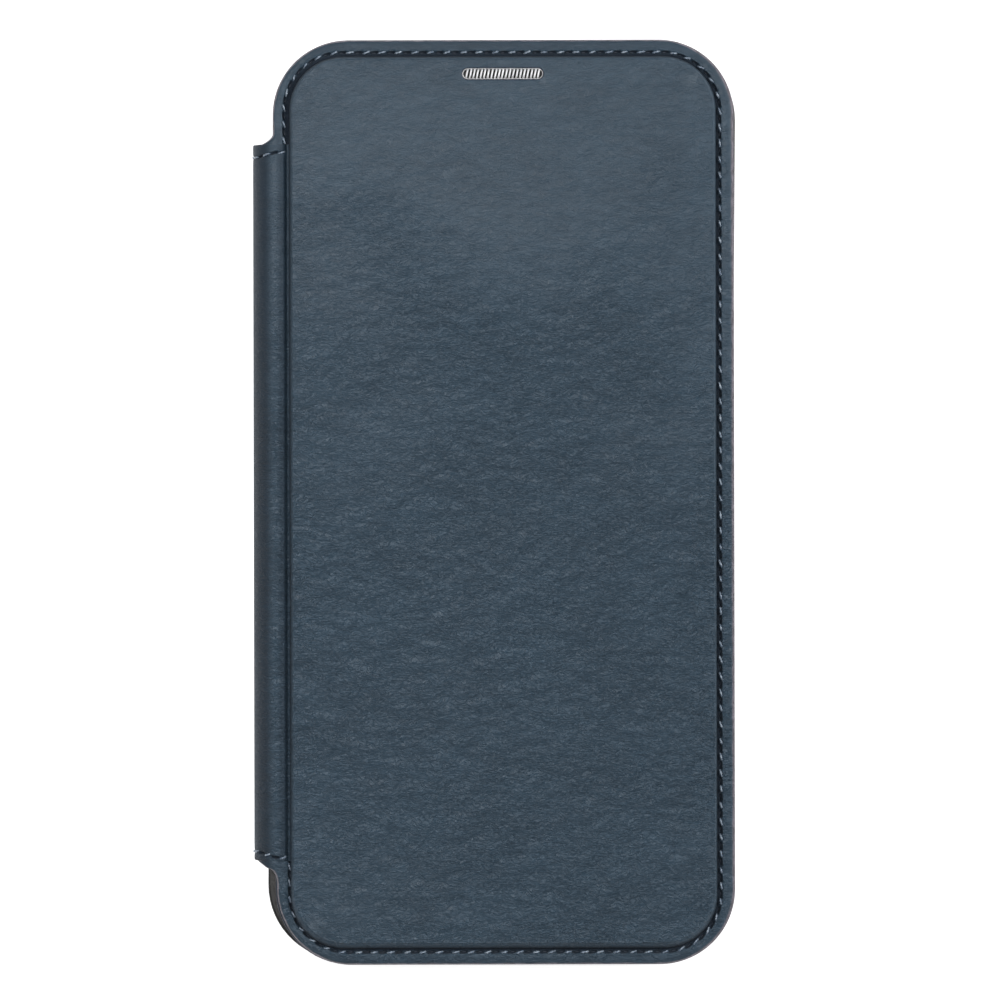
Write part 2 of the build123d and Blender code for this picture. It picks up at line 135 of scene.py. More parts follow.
# ---- the spine's outline across the case ----
FOOT_X = PANEL[0] + 0.04
VALLEY_X = -38.52
VALLEY_DROP = 0.2
JOIN_X = -39.4
JOIN_PULL = 0.45
SHOULDER_RADIUS = 4.35
SHOULDER_X = SPINE_LOW.x + SHOULDER_RADIUS
SHOULDER_Z = SPINE_HIGH.z - SHOULDER_RADIUS
SIDE_RADIUS = 21.8
SIDE_X = SPINE_LOW.x + SIDE_RADIUS
MIDDLE_Z = 9.0
REAR_Z = SPINE_LOW.z
REAR_TURN_X = -42.0
BACK_SEAM_X = -41.4
END_INSETS = (0.0, 0.04, 0.12, 0.24)
SPINE_ROWS = (62.7, -63.4)
SPINE_ROW_START = 0.45

# ---- the stitches ----
PITCH = 2.9
SLANT = math.radians(15)
THREAD_HALF = 0.72
THREAD_WIDE = 0.155
THREAD_THICK = 0.145
THREAD_RISE = 0.06
THREAD_DIVE = 0.45
THREAD_TAPER = 0.35
PLY_TWIST = 4.6
PLY_BULGE = 0.28
THREAD_STEPS = 14
THREAD_SIDES = 10
DOWN = Vector((0, 0, -1))

# ---- what they press into the leather: a bed, a hole at each end and a shallow tug ----
BED_HALF = 0.75
BED_WIDE = 0.2
BED_DEPTH = 0.16
HOLE_SLANT = math.radians(6)
HOLE_HALF = 0.86
HOLE_WIDE = 0.25
HOLE_DEPTH = 0.58
TUG_REACH = 0.5
TUG_DEPTH = 0.07


def ease(value, start, end):
    """Zero before the start, one beyond the end, and a smooth slope between."""
    share = min(max((value - start) / (end - start), 0.0), 1.0)
    return share * share * (3 - 2 * share)


def mix(low, high, share):
    """The value at a share of the way from low to high."""
    return low + (high - low) * share


def turned(x, y, angle):
    """A place turned about the origin."""
    c, s = math.cos(angle), math.sin(angle)
    return x * c - y * s, x * s + y * c


# ---- outlines ----

def outside(x, y, shape):
    """Distance from a point to a rounded rectangle, negative inside it."""
    left, right, lower, upper, corner = shape
    across = abs(x - (left + right) / 2) - (right - left) / 2 + corner
    along = abs(y - (lower + upper) / 2) - (upper - lower) / 2 + corner
    return math.hypot(max(across, 0), max(along, 0)) + min(max(across, along), 0) - corner


def reach(station, shape):
    """How far out along its normal a station meets an outline."""
    x, y, nx, ny = station[:4]
    distance = 0.0
    for _ in range(30):
        step = outside(x + nx * distance, y + ny * distance, shape)
        distance -= step
        if abs(step) < 1e-5:
            break
    return distance


def straight(start, end, spacing):
    """Evenly spaced values from start to end, both included."""
    steps = max(1, math.ceil(abs(end - start) / spacing))
    return [mix(start, end, index / steps) for index in range(steps + 1)]


def stations(shape, spacing, breaks):
    """Places round an outline with their outward normals, anticlockwise from the lower right.
    The left side is cut at two heights, and between them a place is marked as open."""
    left, right, lower, upper, corner = shape
    low, high = lower + corner, upper - corner
    near, far = left + corner, right - corner
    found = []
    for y in straight(low, high, spacing)[:-1]:
        found.append((right, y, 1, 0, False))
    found += corner_stations(far, high, corner, 0, spacing)
    for x in straight(far, near, spacing)[:-1]:
        found.append((x, upper, 0, 1, False))
    found += corner_stations(near, high, corner, 90, spacing)
    for y in straight(high, breaks[1], spacing):
        found.append((left, y, -1, 0, False))
    for y in straight(breaks[1], breaks[0], spacing):
        found.append((left, y, -1, 0, True))
    for y in straight(breaks[0], low, spacing)[:-1]:
        found.append((left, y, -1, 0, False))
    found += corner_stations(near, low, corner, 180, spacing)
    for x in straight(near, far, spacing)[:-1]:
        found.append((x, lower, 0, -1, False))
    found += corner_stations(far, low, corner, 270, spacing)
    return found


def corner_stations(x, y, radius, start, spacing):
    """Places round a quarter circle that starts at an angle in degrees, without its last."""
    steps = math.ceil(radius * math.pi / 2 / spacing)
    found = []
    for index in range(steps):
        angle = math.radians(start + 90 * index / steps)
        nx, ny = math.cos(angle), math.sin(angle)
        found.append((x + radius * nx, y + radius * ny, nx, ny, False))
    return found


# ---- making meshes ----

def inside(x, y, loop):
    """Is a point inside a closed loop of corners?"""
    crossings = 0
    for (ax, ay), (bx, by) in zip(loop, loop[1:] + loop[:1]):
        if (ay > y) != (by > y) and x < ax + (y - ay) / (by - ay) * (bx - ax):
            crossings += 1
    return crossings % 2 == 1


def grid_faces(wide, tall):
    """Quads between the points of a grid that is stored row by row."""
    faces = []
    for j in range(tall - 1):
        for i in range(wide - 1):
            n = j * wide + i
            faces.append((n, n + 1, n + wide + 1, n + wide))
    return faces


class Surface:
    """Points in millimetres and the faces between them. Each point has a tone, painted shade that
    darkens the material in channels, creases, stitch holes and round the spine, an edge, which turns
    it to the painted cut edge, and its place in the flat hide."""

    def __init__(self):
        self.points, self.tone, self.edge, self.flat, self.faces = [], [], [], [], []

    def add(self, points, tone=0.0, edge=0.0, flat=None):
        """Adds points that share a tone and an edge, and returns their numbers."""
        first = len(self.points)
        self.points += points
        self.tone += [tone] * len(points)
        self.edge += [edge] * len(points)
        self.flat += flat or points
        return list(range(first, len(self.points)))

    def add_columns(self, places, columns):
        """Adds loops of points round closed places, from columns with rows of (distance out,
        height, tone, edge), and joins them. Returns the loops."""
        loops = []
        for row in range(len(columns[0])):
            loop = []
            for (x, y, nx, ny, _), column in zip(places, columns):
                distance, z, tone, edge = column[row]
                loop += self.add([(x + nx * distance, y + ny * distance, z)], tone, edge)
            loops.append(loop)
        self.join(loops)
        return loops

    def join(self, loops):
        """Makes quads from each closed loop to the next."""
        for first, second in zip(loops, loops[1:]):
            self.faces += zip(first, first[1:] + first[:1], second[1:] + second[:1], second)

    def fill(self, loops, spacing, height):
        """Makes triangles inside the first loop and outside the others, with new points on a grid
        at the given height."""
        holes = [[self.points[n][:2] for n in loop] for loop in loops[1:]]
        numbers = [n for loop in loops for n in loop]
        corners = [Vector(self.points[n][:2]) for n in numbers]
        edges = []
        for loop in loops:
            start, count = len(edges), len(loop)
            edges += [(start + i, start + (i + 1) % count) for i in range(count)]
        outer = corners[:len(loops[0])]
        low_x, high_x = min(c.x for c in outer), max(c.x for c in outer)
        low_y, high_y = min(c.y for c in outer), max(c.y for c in outer)
        for x in straight(low_x + spacing / 2, high_x - spacing / 2, spacing):
            for y in straight(low_y + spacing / 2, high_y - spacing / 2, spacing):
                corners.append(Vector((x, y)))
        places, _, triangles, origins = geometry.delaunay_2d_cdt(corners, edges, [], 1, 1e-6)[:4]
        kept = []
        for triangle in triangles:
            x = sum(places[n][0] for n in triangle) / 3
            y = sum(places[n][1] for n in triangle) / 3
            if not any(inside(x, y, hole) for hole in holes):
                kept.append(triangle)
        index_of = {}
        for n in {n for triangle in kept for n in triangle}:
            known = [origin for origin in origins[n] if origin < len(numbers)]
            if known:
                index_of[n] = numbers[known[0]]
            else:
                x, y = places[n]
                index_of[n] = self.add([(x, y, height(x, y))])[0]
        self.faces += [tuple(index_of[n] for n in triangle) for triangle in kept]

    def make(self, name, sharp=38):
        """The mesh object, with hard edges where the faces turn by more than an angle."""
        mesh = bpy.data.meshes.new(name)
        mesh.from_pydata([Vector(p) * MM for p in self.points], [], self.faces)
        for key, values in (("tone", self.tone), ("edge", self.edge)):
            mesh.attributes.new(key, "FLOAT", "POINT").data.foreach_set("value", values)
        layer = mesh.attributes.new("flat_place", "FLOAT_VECTOR", "POINT")
        layer.data.foreach_set("vector", [c * MM for place in self.flat for c in place])
        tidy = bmesh.new()
        tidy.from_mesh(mesh)
        bmesh.ops.remove_doubles(tidy, verts=tidy.verts, dist=1e-7)
        bmesh.ops.dissolve_degenerate(tidy, edges=tidy.edges, dist=1e-8)
        bmesh.ops.recalc_face_normals(tidy, faces=tidy.faces)
        tidy.to_mesh(mesh)
        tidy.free()
        mesh.shade_smooth()
        mesh.set_sharp_from_angle(angle=math.radians(sharp))
        made = bpy.data.objects.new(name, mesh)
        bpy.context.scene.collection.objects.link(made)
        return made


# ---- the padded panel ----

PUFF_GRID = 3.2
PUFF_HELD = 2.0
PUFF_FRAMES = 20
PUFF_CLOTH = {"quality": 6, "mass": 0.2, "tension_stiffness": 20, "bending_stiffness": 3,
              "use_pressure": True, "uniform_pressure_force": 4, "vertex_group_mass": "held"}


def blown_up(sheet):
    """Heights of a sheet's points once a cloth simulation has blown it up."""
    cloth = sheet.modifiers.new("swell", "CLOTH")
    for setting, value in PUFF_CLOTH.items():
        setattr(cloth.settings, setting, value)
    cloth.settings.effector_weights.gravity = 0
    for number in range(1, PUFF_FRAMES + 1):
        bpy.context.scene.frame_set(number)
    settled = sheet.evaluated_get(bpy.context.evaluated_depsgraph_get())
    heights = [abs(v.co.z) for v in settled.data.vertices]
    bpy.context.scene.frame_set(1)
    return heights


def puffed_panel():
    """The panel's swell over its foam, from a cloth simulation: a sheet held at its rim is blown up
    a little. Returns a function that gives the swell from 0 to 1 at a place."""
    left, right, lower, upper, _ = PANEL
    across = straight(left, right, PUFF_GRID)
    along = straight(lower, upper, PUFF_GRID)
    points = [(x, y, 0.0) for y in along for x in across]
    wide, tall = len(across), len(along)
    mesh = bpy.data.meshes.new("puff")
    mesh.from_pydata([Vector(p) * MM for p in points], [], grid_faces(wide, tall))
    sheet = bpy.data.objects.new("puff", mesh)
    bpy.context.scene.collection.objects.link(sheet)
    held = sheet.vertex_groups.new(name="held")
    rim = [n for n, (x, y, _) in enumerate(points) if outside(x, y, PANEL) > -PUFF_HELD]
    held.add(rim, 1.0, "REPLACE")
    heights = blown_up(sheet)
    most = max(heights) or 1.0
    bpy.data.objects.remove(sheet)
    bpy.data.meshes.remove(mesh)

    def swell_at(x, y):
        """The swell between the four grid points round a place."""
        i = min(max((x - left) / (right - left), 0), 1) * (wide - 1)
        j = min(max((y - lower) / (upper - lower), 0), 1) * (tall - 1)
        i0, j0 = min(int(i), wide - 2), min(int(j), tall - 2)
        first = j0 * wide + i0
        near = mix(heights[first], heights[first + 1], i - i0)
        far = mix(heights[first + wide], heights[first + wide + 1], i - i0)
        return mix(near, far, j - j0) / most

    return swell_at


swell = puffed_panel()


def panel_height(x, y):
    """The panel's top, a little fuller in the middle and never quite even."""
    ripple = RIPPLE * math.sin(x * 0.21 + 1.3) * math.sin(y * 0.13 + 0.4)
    near_rim = max(0.0, 1 + outside(x, y, PANEL) / ROLL_OFF)
    return PANEL_TOP - PANEL_SLACK + (CROWN + ripple) * swell(x, y) - ROLL_DEPTH * near_rim ** 2


# ---- stitches ----

def stitch_pit(along, out):
    """Depth that the stitches press into the leather, with painted shade in their beds and holes,
    at a distance along the row and out from it."""
    from_middle = ((along / PITCH) % 1.0 - 0.5) * PITCH
    a, b = turned(from_middle, out, SLANT)
    bed = max(0.0, 1 - (a / BED_HALF) ** 4) * math.exp(-((b / BED_WIDE) ** 2))
    a, b = turned(from_middle - math.copysign(PITCH / 2, from_middle), out, HOLE_SLANT)
    hole = max(0.0, 1 - (a / HOLE_HALF) ** 4) * max(0.0, 1 - (b / HOLE_WIDE) ** 2) ** 0.5
    tug = math.exp(-((out / TUG_REACH) ** 2))
    depth = TUG_DEPTH * tug + BED_DEPTH * bed + HOLE_DEPTH * hole
    return depth, min(1.0, 0.35 * bed + 1.5 * hole + 0.12 * tug)


def thread_rings(rng):
    """One thread: a two-ply twist that rises from one hole and dives into the next."""
    half = THREAD_HALF + rng.uniform(-0.12, 0.08)
    rise = THREAD_RISE + rng.uniform(-0.06, 0.04)
    turn = rng.uniform(0, math.pi)
    rings = []
    for i in range(THREAD_STEPS + 1):
        a = mix(-half, half, i / THREAD_STEPS)
        out = abs(a / half)
        middle = rise - THREAD_DIVE * out ** 3.5 - 0.05 * out
        taper = 1 - THREAD_TAPER * out ** 3
        ring = []
        for j in range(THREAD_SIDES):
            angle = 2 * math.pi * j / THREAD_SIDES
            size = taper * (1 + PLY_BULGE * math.cos(2 * (angle - PLY_TWIST * a - turn)))
            b = THREAD_WIDE * size * math.cos(angle)
            ring.append((a, b, middle + THREAD_THICK * size * math.sin(angle)))
        rings.append(ring)
    return rings


def threads(name, places, seed):
    """Threads at places, each given as a middle, a heading and an outward normal."""
    rng = random.Random(seed)
    sewing = Surface()
    for index, (middle, heading, normal) in enumerate(places):
        normal = normal.normalized()
        heading = (heading - normal * heading.dot(normal)).normalized()
        lean = SLANT + rng.uniform(-0.14, 0.14)
        ahead = heading * math.cos(lean) + normal.cross(heading) * math.sin(lean)
        side = normal.cross(ahead)
        loops = []
        for ring in thread_rings(rng):
            points = [tuple(middle + ahead * a + side * b + normal * c) for a, b, c in ring]
            loops.append(sewing.add(points, flat=[(a, b, index * 3.0) for a, b, _ in ring]))
        sewing.join(loops)
        sewing.faces += [tuple(reversed(loops[0])), tuple(loops[-1])]
    return sewing.make(name, sharp=80)


# ---- the cover's skin ----

def shoulder_height(x):
    """Height of the spine's rounded shoulder."""
    return SHOULDER_Z + math.sqrt(max(SHOULDER_RADIUS ** 2 - (x - SHOULDER_X) ** 2, 0.01))


def tab_reach(station, edge):
    """The tabs flare out towards the ends of the spine in a hollow curve."""
    x, y, nx = station[:3]
    past = abs(y) - TAB_START
    if nx != -1:
        return edge
    if y > 0 and past < UPPER_TAB:
        side = TAB_NECK + TAB_FLARE * (1 - past / UPPER_TAB) ** 2.2
    elif y < 0 and past < TAB_TIP:
        side = mix(TIP_SIDE, HORN_SIDE, past / TAB_TIP)
    elif y < 0 and past < LOWER_TAB:
        fall = 1 - 0.96 * ((LOWER_TAB - past) / (LOWER_TAB - TAB_TIP)) ** 2
        side = HORN_SIDE - HORN_HOLLOW * math.sqrt(fall)
    else:
        return edge
    return max(edge, side + x)


def border_height(station, distance):
    """Top of the border leather: nearly flat, and wrapping down beside the spine."""
    x, y, nx = station[:3]
    place = x - distance
    if nx != -1 or place >= WRAP_X:
        return BORDER_TOP
    return mix(BORDER_TOP, shoulder_height(place), ease(abs(y), TAB_START + WRAP_LENGTH, TAB_START))


def painted_spine_shade(x, z):
    """Painted shade on the spine: in the front crease and round the shoulder, where shade falls."""
    crease = CREASE_SHADE * ease(x, -40.8, -39.5) * (1 - 0.45 * ease(x, WRAP_X, -38.7))
    shoulder = SHOULDER_SHADE * ease(x, -41.0, -42.7)
    return max(crease, shoulder) * ease(z, MIDDLE_Z, MIDDLE_Z + 1.6)


def tab_shade(station, distance, height):
    """The same painted shade carried on over the tabs, and fading along the border; the upper and
    lower borders get a little painted shade too.
    """
    x, y, nx, ny = station[:4]
    if nx != -1:
        return END_SHADE * abs(ny)
    return painted_spine_shade(x - distance, height) * ease(abs(y), TAB_START + SHADE_LENGTH, TAB_START)


def rim_rows(station):
    """The panel's soft rim, from just inside it down to its foot."""
    x, y, nx, ny = station[:4]
    rows = []
    for inset in INSETS:
        rows.append((-inset, panel_height(x - nx * inset, y - ny * inset), 0, 0))
    crest = rows[-1][1]
    lower_side = max(0.0, -ny)
    across = RIM_ACROSS + RIM_SLACK * lower_side - RIM_PULL * max(0.0, nx)
    # Painted shade grows down the rim towards its foot, sooner on the lower side, and is full in the
    # channel.
    spread = mix(3.0, 1.3, lower_side)
    for turn in RIM_TURNS:
        angle = math.radians(turn)
        z = mix(CHANNEL_FLOOR, crest, math.sin(angle))
        rows.append((-across * (1 - math.cos(angle)), z, (1 - turn / RIM_TURNS[0]) ** spread, 0))
    return rows + [(FOOT_OUT, CHANNEL_FLOOR, 1.0, 0)]


def crease_rows():
    """Beside the spine there is no border, and the leather goes straight down into the crease,
    darkened with painted shade.
    """
    count = 1 + len(BAND) + len(BORDER_SHARES) + len(CUT_EDGE)
    rows = []
    for index in range(count):
        share = (index + 1) / count
        z = mix(CHANNEL_FLOOR - CREASE_DROP, BORDER_UNDER, ease(share, 0.375, 1.0))
        rows.append((mix(FOOT_OUT + 0.01, CREASE_REACH, share), z, 0.5, 0))
    return rows


def border_rows(station, along, row_at, edge_at):
    """The channel with its stitches, darkened with painted shade, and the border out to its worn and
    painted cut edge.
    """
    y, nx = station[1:3]
    edge = tab_reach(station, edge_at + EDGE_DRIFT * y / SPINE_HALF * max(0.0, -nx))
    before = max(row_at + BAND[0], CHANNEL_START)
    # The channel floor is full painted shade, fading as the border climbs out of it.
    rows = [(mix(FOOT_OUT, before, 0.5), CHANNEL_FLOOR, 1.0, 0)]
    for number, out in enumerate(BAND):
        out = max(out, CHANNEL_START + 0.015 * number - row_at)
        depth, dark = stitch_pit(along, out)
        climb = ease(out, -0.5, 0.25)
        top = mix(CHANNEL_FLOOR, border_height(station, row_at + out), climb)
        rows.append((row_at + out, top - depth, max(dark, 1 - climb), 0))
    for share in BORDER_SHARES:
        distance = mix(row_at + BAND[-1], edge - 0.66, share)
        height = border_height(station, distance)
        lift = BORDER_SWELL * math.sin(math.pi * share)
        rows.append((distance, height + lift, tab_shade(station, distance, height), 0))
    top = border_height(station, edge - 0.4)
    wave = 0.03 * math.sin(along * 0.9) + 0.02 * math.sin(along * 2.3 + 1)
    worn = mix(1.0, 1.7, max(0.0, nx))
    shade = tab_shade(station, edge, top)
    for inset, waving, drop, painted in CUT_EDGE:
        distance = edge - inset * worn + wave * waving
        rows.append((distance, top - drop, 0 if painted else shade, painted))
    return rows


def cover_profile(station, along, row_at, edge_at):
    """Rows of (distance out from the panel's foot, height, tone, edge) down one column."""
    is_open = station[4]
    rows = rim_rows(station)
    rows += crease_rows() if is_open else border_rows(station, along, row_at, edge_at)
    distance, height = rows[-1][:2]
    # Under the cut edge and on the hidden underside the leather carries painted shade.
    rows.append((distance - 0.02, height - 0.02, 0.5, 0 if is_open else 1.0))
    rows.append((-LEATHER, BORDER_UNDER, 0.5, 0))
    rows.append((-LEATHER, CEILING, 0.5, 0))
    return rows


def sewn_row(places, shape):
    """A closed row of stitches: how far out it is at each place, the spot itself, the distance
    along it, stretched so that a whole number of stitches fits, and that number."""
    outs = []
    for place in places:
        drift = ROW_DRIFT * place[1] / SPINE_HALF * max(0.0, -place[2])
        outs.append(reach(place, shape) + drift)
    spots = [(p[0] + p[2] * out, p[1] + p[3] * out) for p, out in zip(places, outs)]
    lengths, total = [], 0.0
    for index, spot in enumerate(spots):
        if index:
            total += math.dist(spot, spots[index - 1])
        lengths.append(total)
    total += math.dist(spots[-1], spots[0])
    count = round(total / PITCH)
    scale = count * PITCH / total
    return outs, spots, [length * scale for length in lengths], count


def sewn_skin(places, row, shape, profile):
    """Starts a skin from columns that follow a profile out to an outline. Returns it with its
    loops, the innermost first."""
    outs, _, lengths, _ = row
    columns = []
    for place, out, along in zip(places, outs, lengths):
        columns.append(profile(place, along, out, reach(place, shape)))
    skin = Surface()
    return skin, skin.add_columns(places, columns)


def cover_skin(places, row):
    """The cover's leather: border, sewn channel, soft rim and padded panel, as one closed skin."""
    skin, loops = sewn_skin(places, row, COVER, cover_profile)
    lip = grille_lip(skin)
    skin.fill([loops[0], lip[0]], PANEL_GRID, panel_height)
    hidden = skin.add(stadium(GRILLE_LIP[-1][0], CEILING))
    skin.join([lip[-1], hidden])
    skin.fill([loops[-1], hidden], HIDDEN_GRID, lambda x, y: CEILING)
    return skin.make("cover_skin")


GRILLE_X = (GRILLE_LOW.x + GRILLE_HIGH.x) / 2
GRILLE_Y = (GRILLE_LOW.y + GRILLE_HIGH.y) / 2
GRILLE_HALF = (GRILLE_HIGH.x - GRILLE_LOW.x) / 2
GRILLE_TALL = (GRILLE_HIGH.y - GRILLE_LOW.y) / 2
# Each loop of the leather's lip round the grille: its margin, drop, tone and paint. The tone is
# painted shade where the lip turns down into the slot.
GRILLE_LIP = ((0.42, 0.0, 0, 0), (0.22, 0.03, 0, 0), (0.1, 0.1, 0.2, 0.6), (0.05, 0.2, 0.6, 0.6))


def stadium(margin, z, steps=14):
    """Points round a long slot at the grille, grown by a margin."""
    radius = GRILLE_TALL + margin
    end = GRILLE_HALF - GRILLE_TALL
    points = []
    for side, start in ((1, -90), (-1, 90)):
        for index in range(steps + 1):
            angle = math.radians(start + 180 * index / steps)
            x = GRILLE_X + side * end + radius * math.cos(angle)
            y = GRILLE_Y + radius * math.sin(angle)
            points.append((x, y, z if not callable(z) else z(x, y)))
    return points


def grille_lip(skin):
    """The leather's rounded lip round the grille, as loops from its outside to its inside."""
    loops = []
    for margin, drop, tone, edge in GRILLE_LIP:
        ring = stadium(margin, lambda x, y, d=drop: panel_height(x, y) - d)
        loops.append(skin.add(ring, tone, edge))
    skin.join(loops)
    return loops


# ---- the spine's skin ----

def curve(start, start_pull, end_pull, end, steps):
    """Points along a smooth curve between two points, leaving out the last."""
    points = []
    for index in range(steps):
        t = index / steps
        weights = ((1 - t) ** 3, 3 * t * (1 - t) ** 2, 3 * t * t * (1 - t), t ** 3)
        corners = (start, start_pull, end_pull, end)
        points.append(tuple(sum(w * c[k] for w, c in zip(weights, corners)) for k in (0, 1)))
    return points


def shoulder_arc(start_x, steps):
    """Points round the spine's shoulder, without the last."""
    start = math.acos((start_x - SHOULDER_X) / SHOULDER_RADIUS)
    points = []
    for index in range(steps):
        angle = mix(start, math.pi, index / steps)
        points.append((SHOULDER_X + SHOULDER_RADIUS * math.cos(angle),
                       SHOULDER_Z + SHOULDER_RADIUS * math.sin(angle)))
    return points


def side_arc(high, low, steps):
    """Points down the spine's slightly rounded side, between two heights."""
    points = []
    for index in range(steps + 1):
        z = mix(high, low, index / steps)
        points.append((SIDE_X - math.sqrt(SIDE_RADIUS ** 2 - (SHOULDER_Z - z) ** 2), z))
    return points


def front_profile():
    """The crease beside the panel and the spine's shoulder, down to the middle of its side."""
    foot = (FOOT_X, CHANNEL_FLOOR + 0.1)
    valley = (VALLEY_X, CHANNEL_FLOOR - VALLEY_DROP)
    join = (JOIN_X, shoulder_height(JOIN_X))
    fall = (join[0] - SHOULDER_X) / (join[1] - SHOULDER_Z)
    pull = (join[0] + JOIN_PULL, join[1] - JOIN_PULL * fall)
    points = curve(foot, (foot[0] - 0.1, valley[1] + 0.05), (valley[0] + 0.2, valley[1]), valley, 6)
    points += curve(valley, (valley[0] - 0.22, valley[1]), pull, join, 9)
    points += shoulder_arc(JOIN_X, 36)
    return points + side_arc(SHOULDER_Z, MIDDLE_Z, 2)


def rear_profile():
    """The lower half of the spine's side and the rear crease, to the back."""
    points = side_arc(MIDDLE_Z, REAR_Z, 32)
    foot = points.pop()
    turn = (REAR_TURN_X, 0.0)
    points += curve(foot, (foot[0] + 0.2, 0.72), (foot[0] + 0.42, 0.02), turn, 12)
    return points + [(x, 0.0) for x in straight(REAR_TURN_X, BACK_SEAM_X, 0.2)]


def profile_facts(profile):
    """Distance along a profile and its outward direction at each point."""
    lengths, normals = [0.0], []
    for before, after in zip(profile, profile[1:]):
        lengths.append(lengths[-1] + math.dist(before, after))
    for index in range(len(profile)):
        before = profile[max(index - 1, 0)]
        after = profile[min(index + 1, len(profile) - 1)]
        dx, dz = after[0] - before[0], after[1] - before[1]
        size = math.hypot(dx, dz)
        normals.append((dz / size, -dx / size))
    return lengths, normals


def cross_lines(end):
    """Places along the spine, close together at the rows of stitches and at the ends."""
    lines = straight(-end, end, 1.6)
    for row in SPINE_ROWS:
        lines = [y for y in lines if abs(y - row) > 0.75]
        lines += [row + out for out in BAND] + [row - 0.65, row + 0.62]
    lines = [y for y in lines if abs(y) < end - END_INSETS[-1] - 0.01]
    lines += [sign * (end - inset) for sign in (-1, 1) for inset in END_INSETS]
    return sorted(set(lines))


def spine_end(x, upper):
    """How far the cut ends of the spine stand out at a place across it."""
    return mix(0.0, 0.1, ease(x, -44.7, -42.8)) if upper else mix(-0.05, 0.1, ease(x, -44.7, -43.8))


def row_slope(x, upper):
    """How far a row of stitches strays towards the end of the spine at a place across it."""
    away = ease(x, -40.2, -44.7)
    return mix(0.35, -0.55, away) if upper else mix(0.5, -0.6, away)


def spine_row(y):
    """Distance from the middle to the row of stitches at that end of the spine."""
    return abs(SPINE_ROWS[0] if y > 0 else SPINE_ROWS[1])


def drawn(y, x, end):
    """A line across the spine, moved so that the rows of stitches and the cut ends slope."""
    upper = y > 0
    row = spine_row(y)
    sewn_at = row + row_slope(x, upper)
    if abs(y) > row:
        place = mix(sewn_at, end + spine_end(x, upper), (abs(y) - row) / (end - row))
    else:
        place = abs(y) + (sewn_at - row) * ease(abs(y), row - 5, row)
    return math.copysign(place, y)


def rounded_there(x):
    """The cut ends are rounded only where they show, beside the outer side of the spine."""
    return ease(x, -42.7, -43.2)


def spine_face(x, y, z, distance):
    """Depth and tone of the spine's outer face: its stitches with painted shade in their holes, and
    painted shade in the crease and round the shoulder.
    """
    depth, dark = 0.0, 0.0
    out = abs(y) - spine_row(y) - row_slope(x, y > 0)
    if abs(out) < 1.0:
        fade = ease(distance, 0.9, 1.5)
        depth, dark = stitch_pit(math.copysign(distance - SPINE_ROW_START, y), out)
        depth *= fade
        dark *= fade
    return depth, min(1.0, max(dark, painted_spine_shade(x, z)))


def strip(name, profile, start, end, thickness, sewn=True):
    """A bent sheet of leather along the spine: an outer face that follows a profile, an inner face
    under it, and rounded ends. start is how far along the whole hide the profile begins."""
    lengths, normals = profile_facts(profile)
    across = list(zip(profile, normals, lengths))
    skin = Surface()
    loops = []
    for y in cross_lines(end):
        near_end = max(0.0, END_INSETS[-1] - (end - abs(y))) / END_INSETS[-1]
        loop = []
        for inner, column in ((False, across), (True, across[::-1])):
            for (x, z), (nx, nz), length in column:
                inset = near_end * rounded_there(x)
                place = drawn(y, x, end)
                depth, dark = 0.0, 0.0
                # The inner face carries a little painted shade.
                if inner:
                    depth, dark = thickness - 0.1 * inset ** 2, 0.3
                elif sewn:
                    depth, dark = spine_face(x, place, z, start + length)
                depth += 0 if inner else 0.12 * inset ** 2
                flat = (PANEL[0] - start - length, y, 5 if inner else 0)
                loop += skin.add([(x - nx * depth, place, z - nz * depth)], dark, inset, [flat])
        loops.append(loop)
    skin.join(loops)
    for loop in (loops[0], loops[-1]):
        for n in range(len(across) - 1):
            skin.faces.append((loop[n], loop[n + 1], loop[-2 - n], loop[-1 - n]))
    return skin.make(name), lengths[-1]


def spine_places(profiles):
    """Where the threads lie on the spine's two rows."""
    track = []
    start = 0.0
    for profile in profiles:
        lengths, normals = profile_facts(profile)
        for (x, z), normal, length in zip(profile, normals, lengths):
            track.append((start + length, x, z, normal))
        start += lengths[-1]
    found = []
    for index in range(int((start - SPINE_ROW_START) / PITCH)):
        at = SPINE_ROW_START + (index + 0.5) * PITCH
        _, x, z, (nx, nz) = min(track, key=lambda spot: abs(spot[0] - at))
        for sign in (1, -1):
            heading = Vector((nz, 0, -nx)) * -sign
            normal = Vector((nx, 0, nz))
            sewn_at = sign * (spine_row(sign) + row_slope(x, sign > 0))
            found.append((Vector((x, sewn_at, z)) + normal * 0.02, heading, normal))
    return found


# ---- the back's skin ----

BACK_SHAPE = (-BACK_HIGH.x, BACK_HIGH.x, BACK_LOW.y, BACK_HIGH.y, 10.5)
BACK_INSET = 1.93
BACK_INNER = (BACK_SHAPE[0] + BACK_INSET, BACK_SHAPE[1] - BACK_INSET,
              BACK_SHAPE[2] + BACK_INSET, BACK_SHAPE[3] - BACK_INSET, 8.4)
BACK_ROW = (-37.2, 37.2, -78.2, 78.2, 9.0)
BACK_THREAD_Z = 0.22
BACK_GRID = 4.0
BACK_HIDDEN_GRID = 12.0
BEZEL = (-2.3, 35.9, 36.5, 76.7, 10.6)
SKEW = math.radians(-0.5)
# Each row of the back's cut edge: its inset, height, tone and paint. The tone is painted shade on
# the hidden inner row.
BACK_EDGE = ((0.28, 0.02, 0, 0.0), (0.12, 0.09, 0, 0.5), (0.03, 0.22, 0, 1.0), (0.0, 0.4, 0, 1.0),
             (0.0, LEATHER, 0, 1.0), (0.1, LEATHER, 0.3, 0.5))
# Each row of the edge round the camera window: its margin, height and paint.
BEZEL_EDGE = ((0.06, 0, 0), (0.05, 0.06, 0.4), (0.04, 0.2, 1), (0.03, LEATHER, 1))


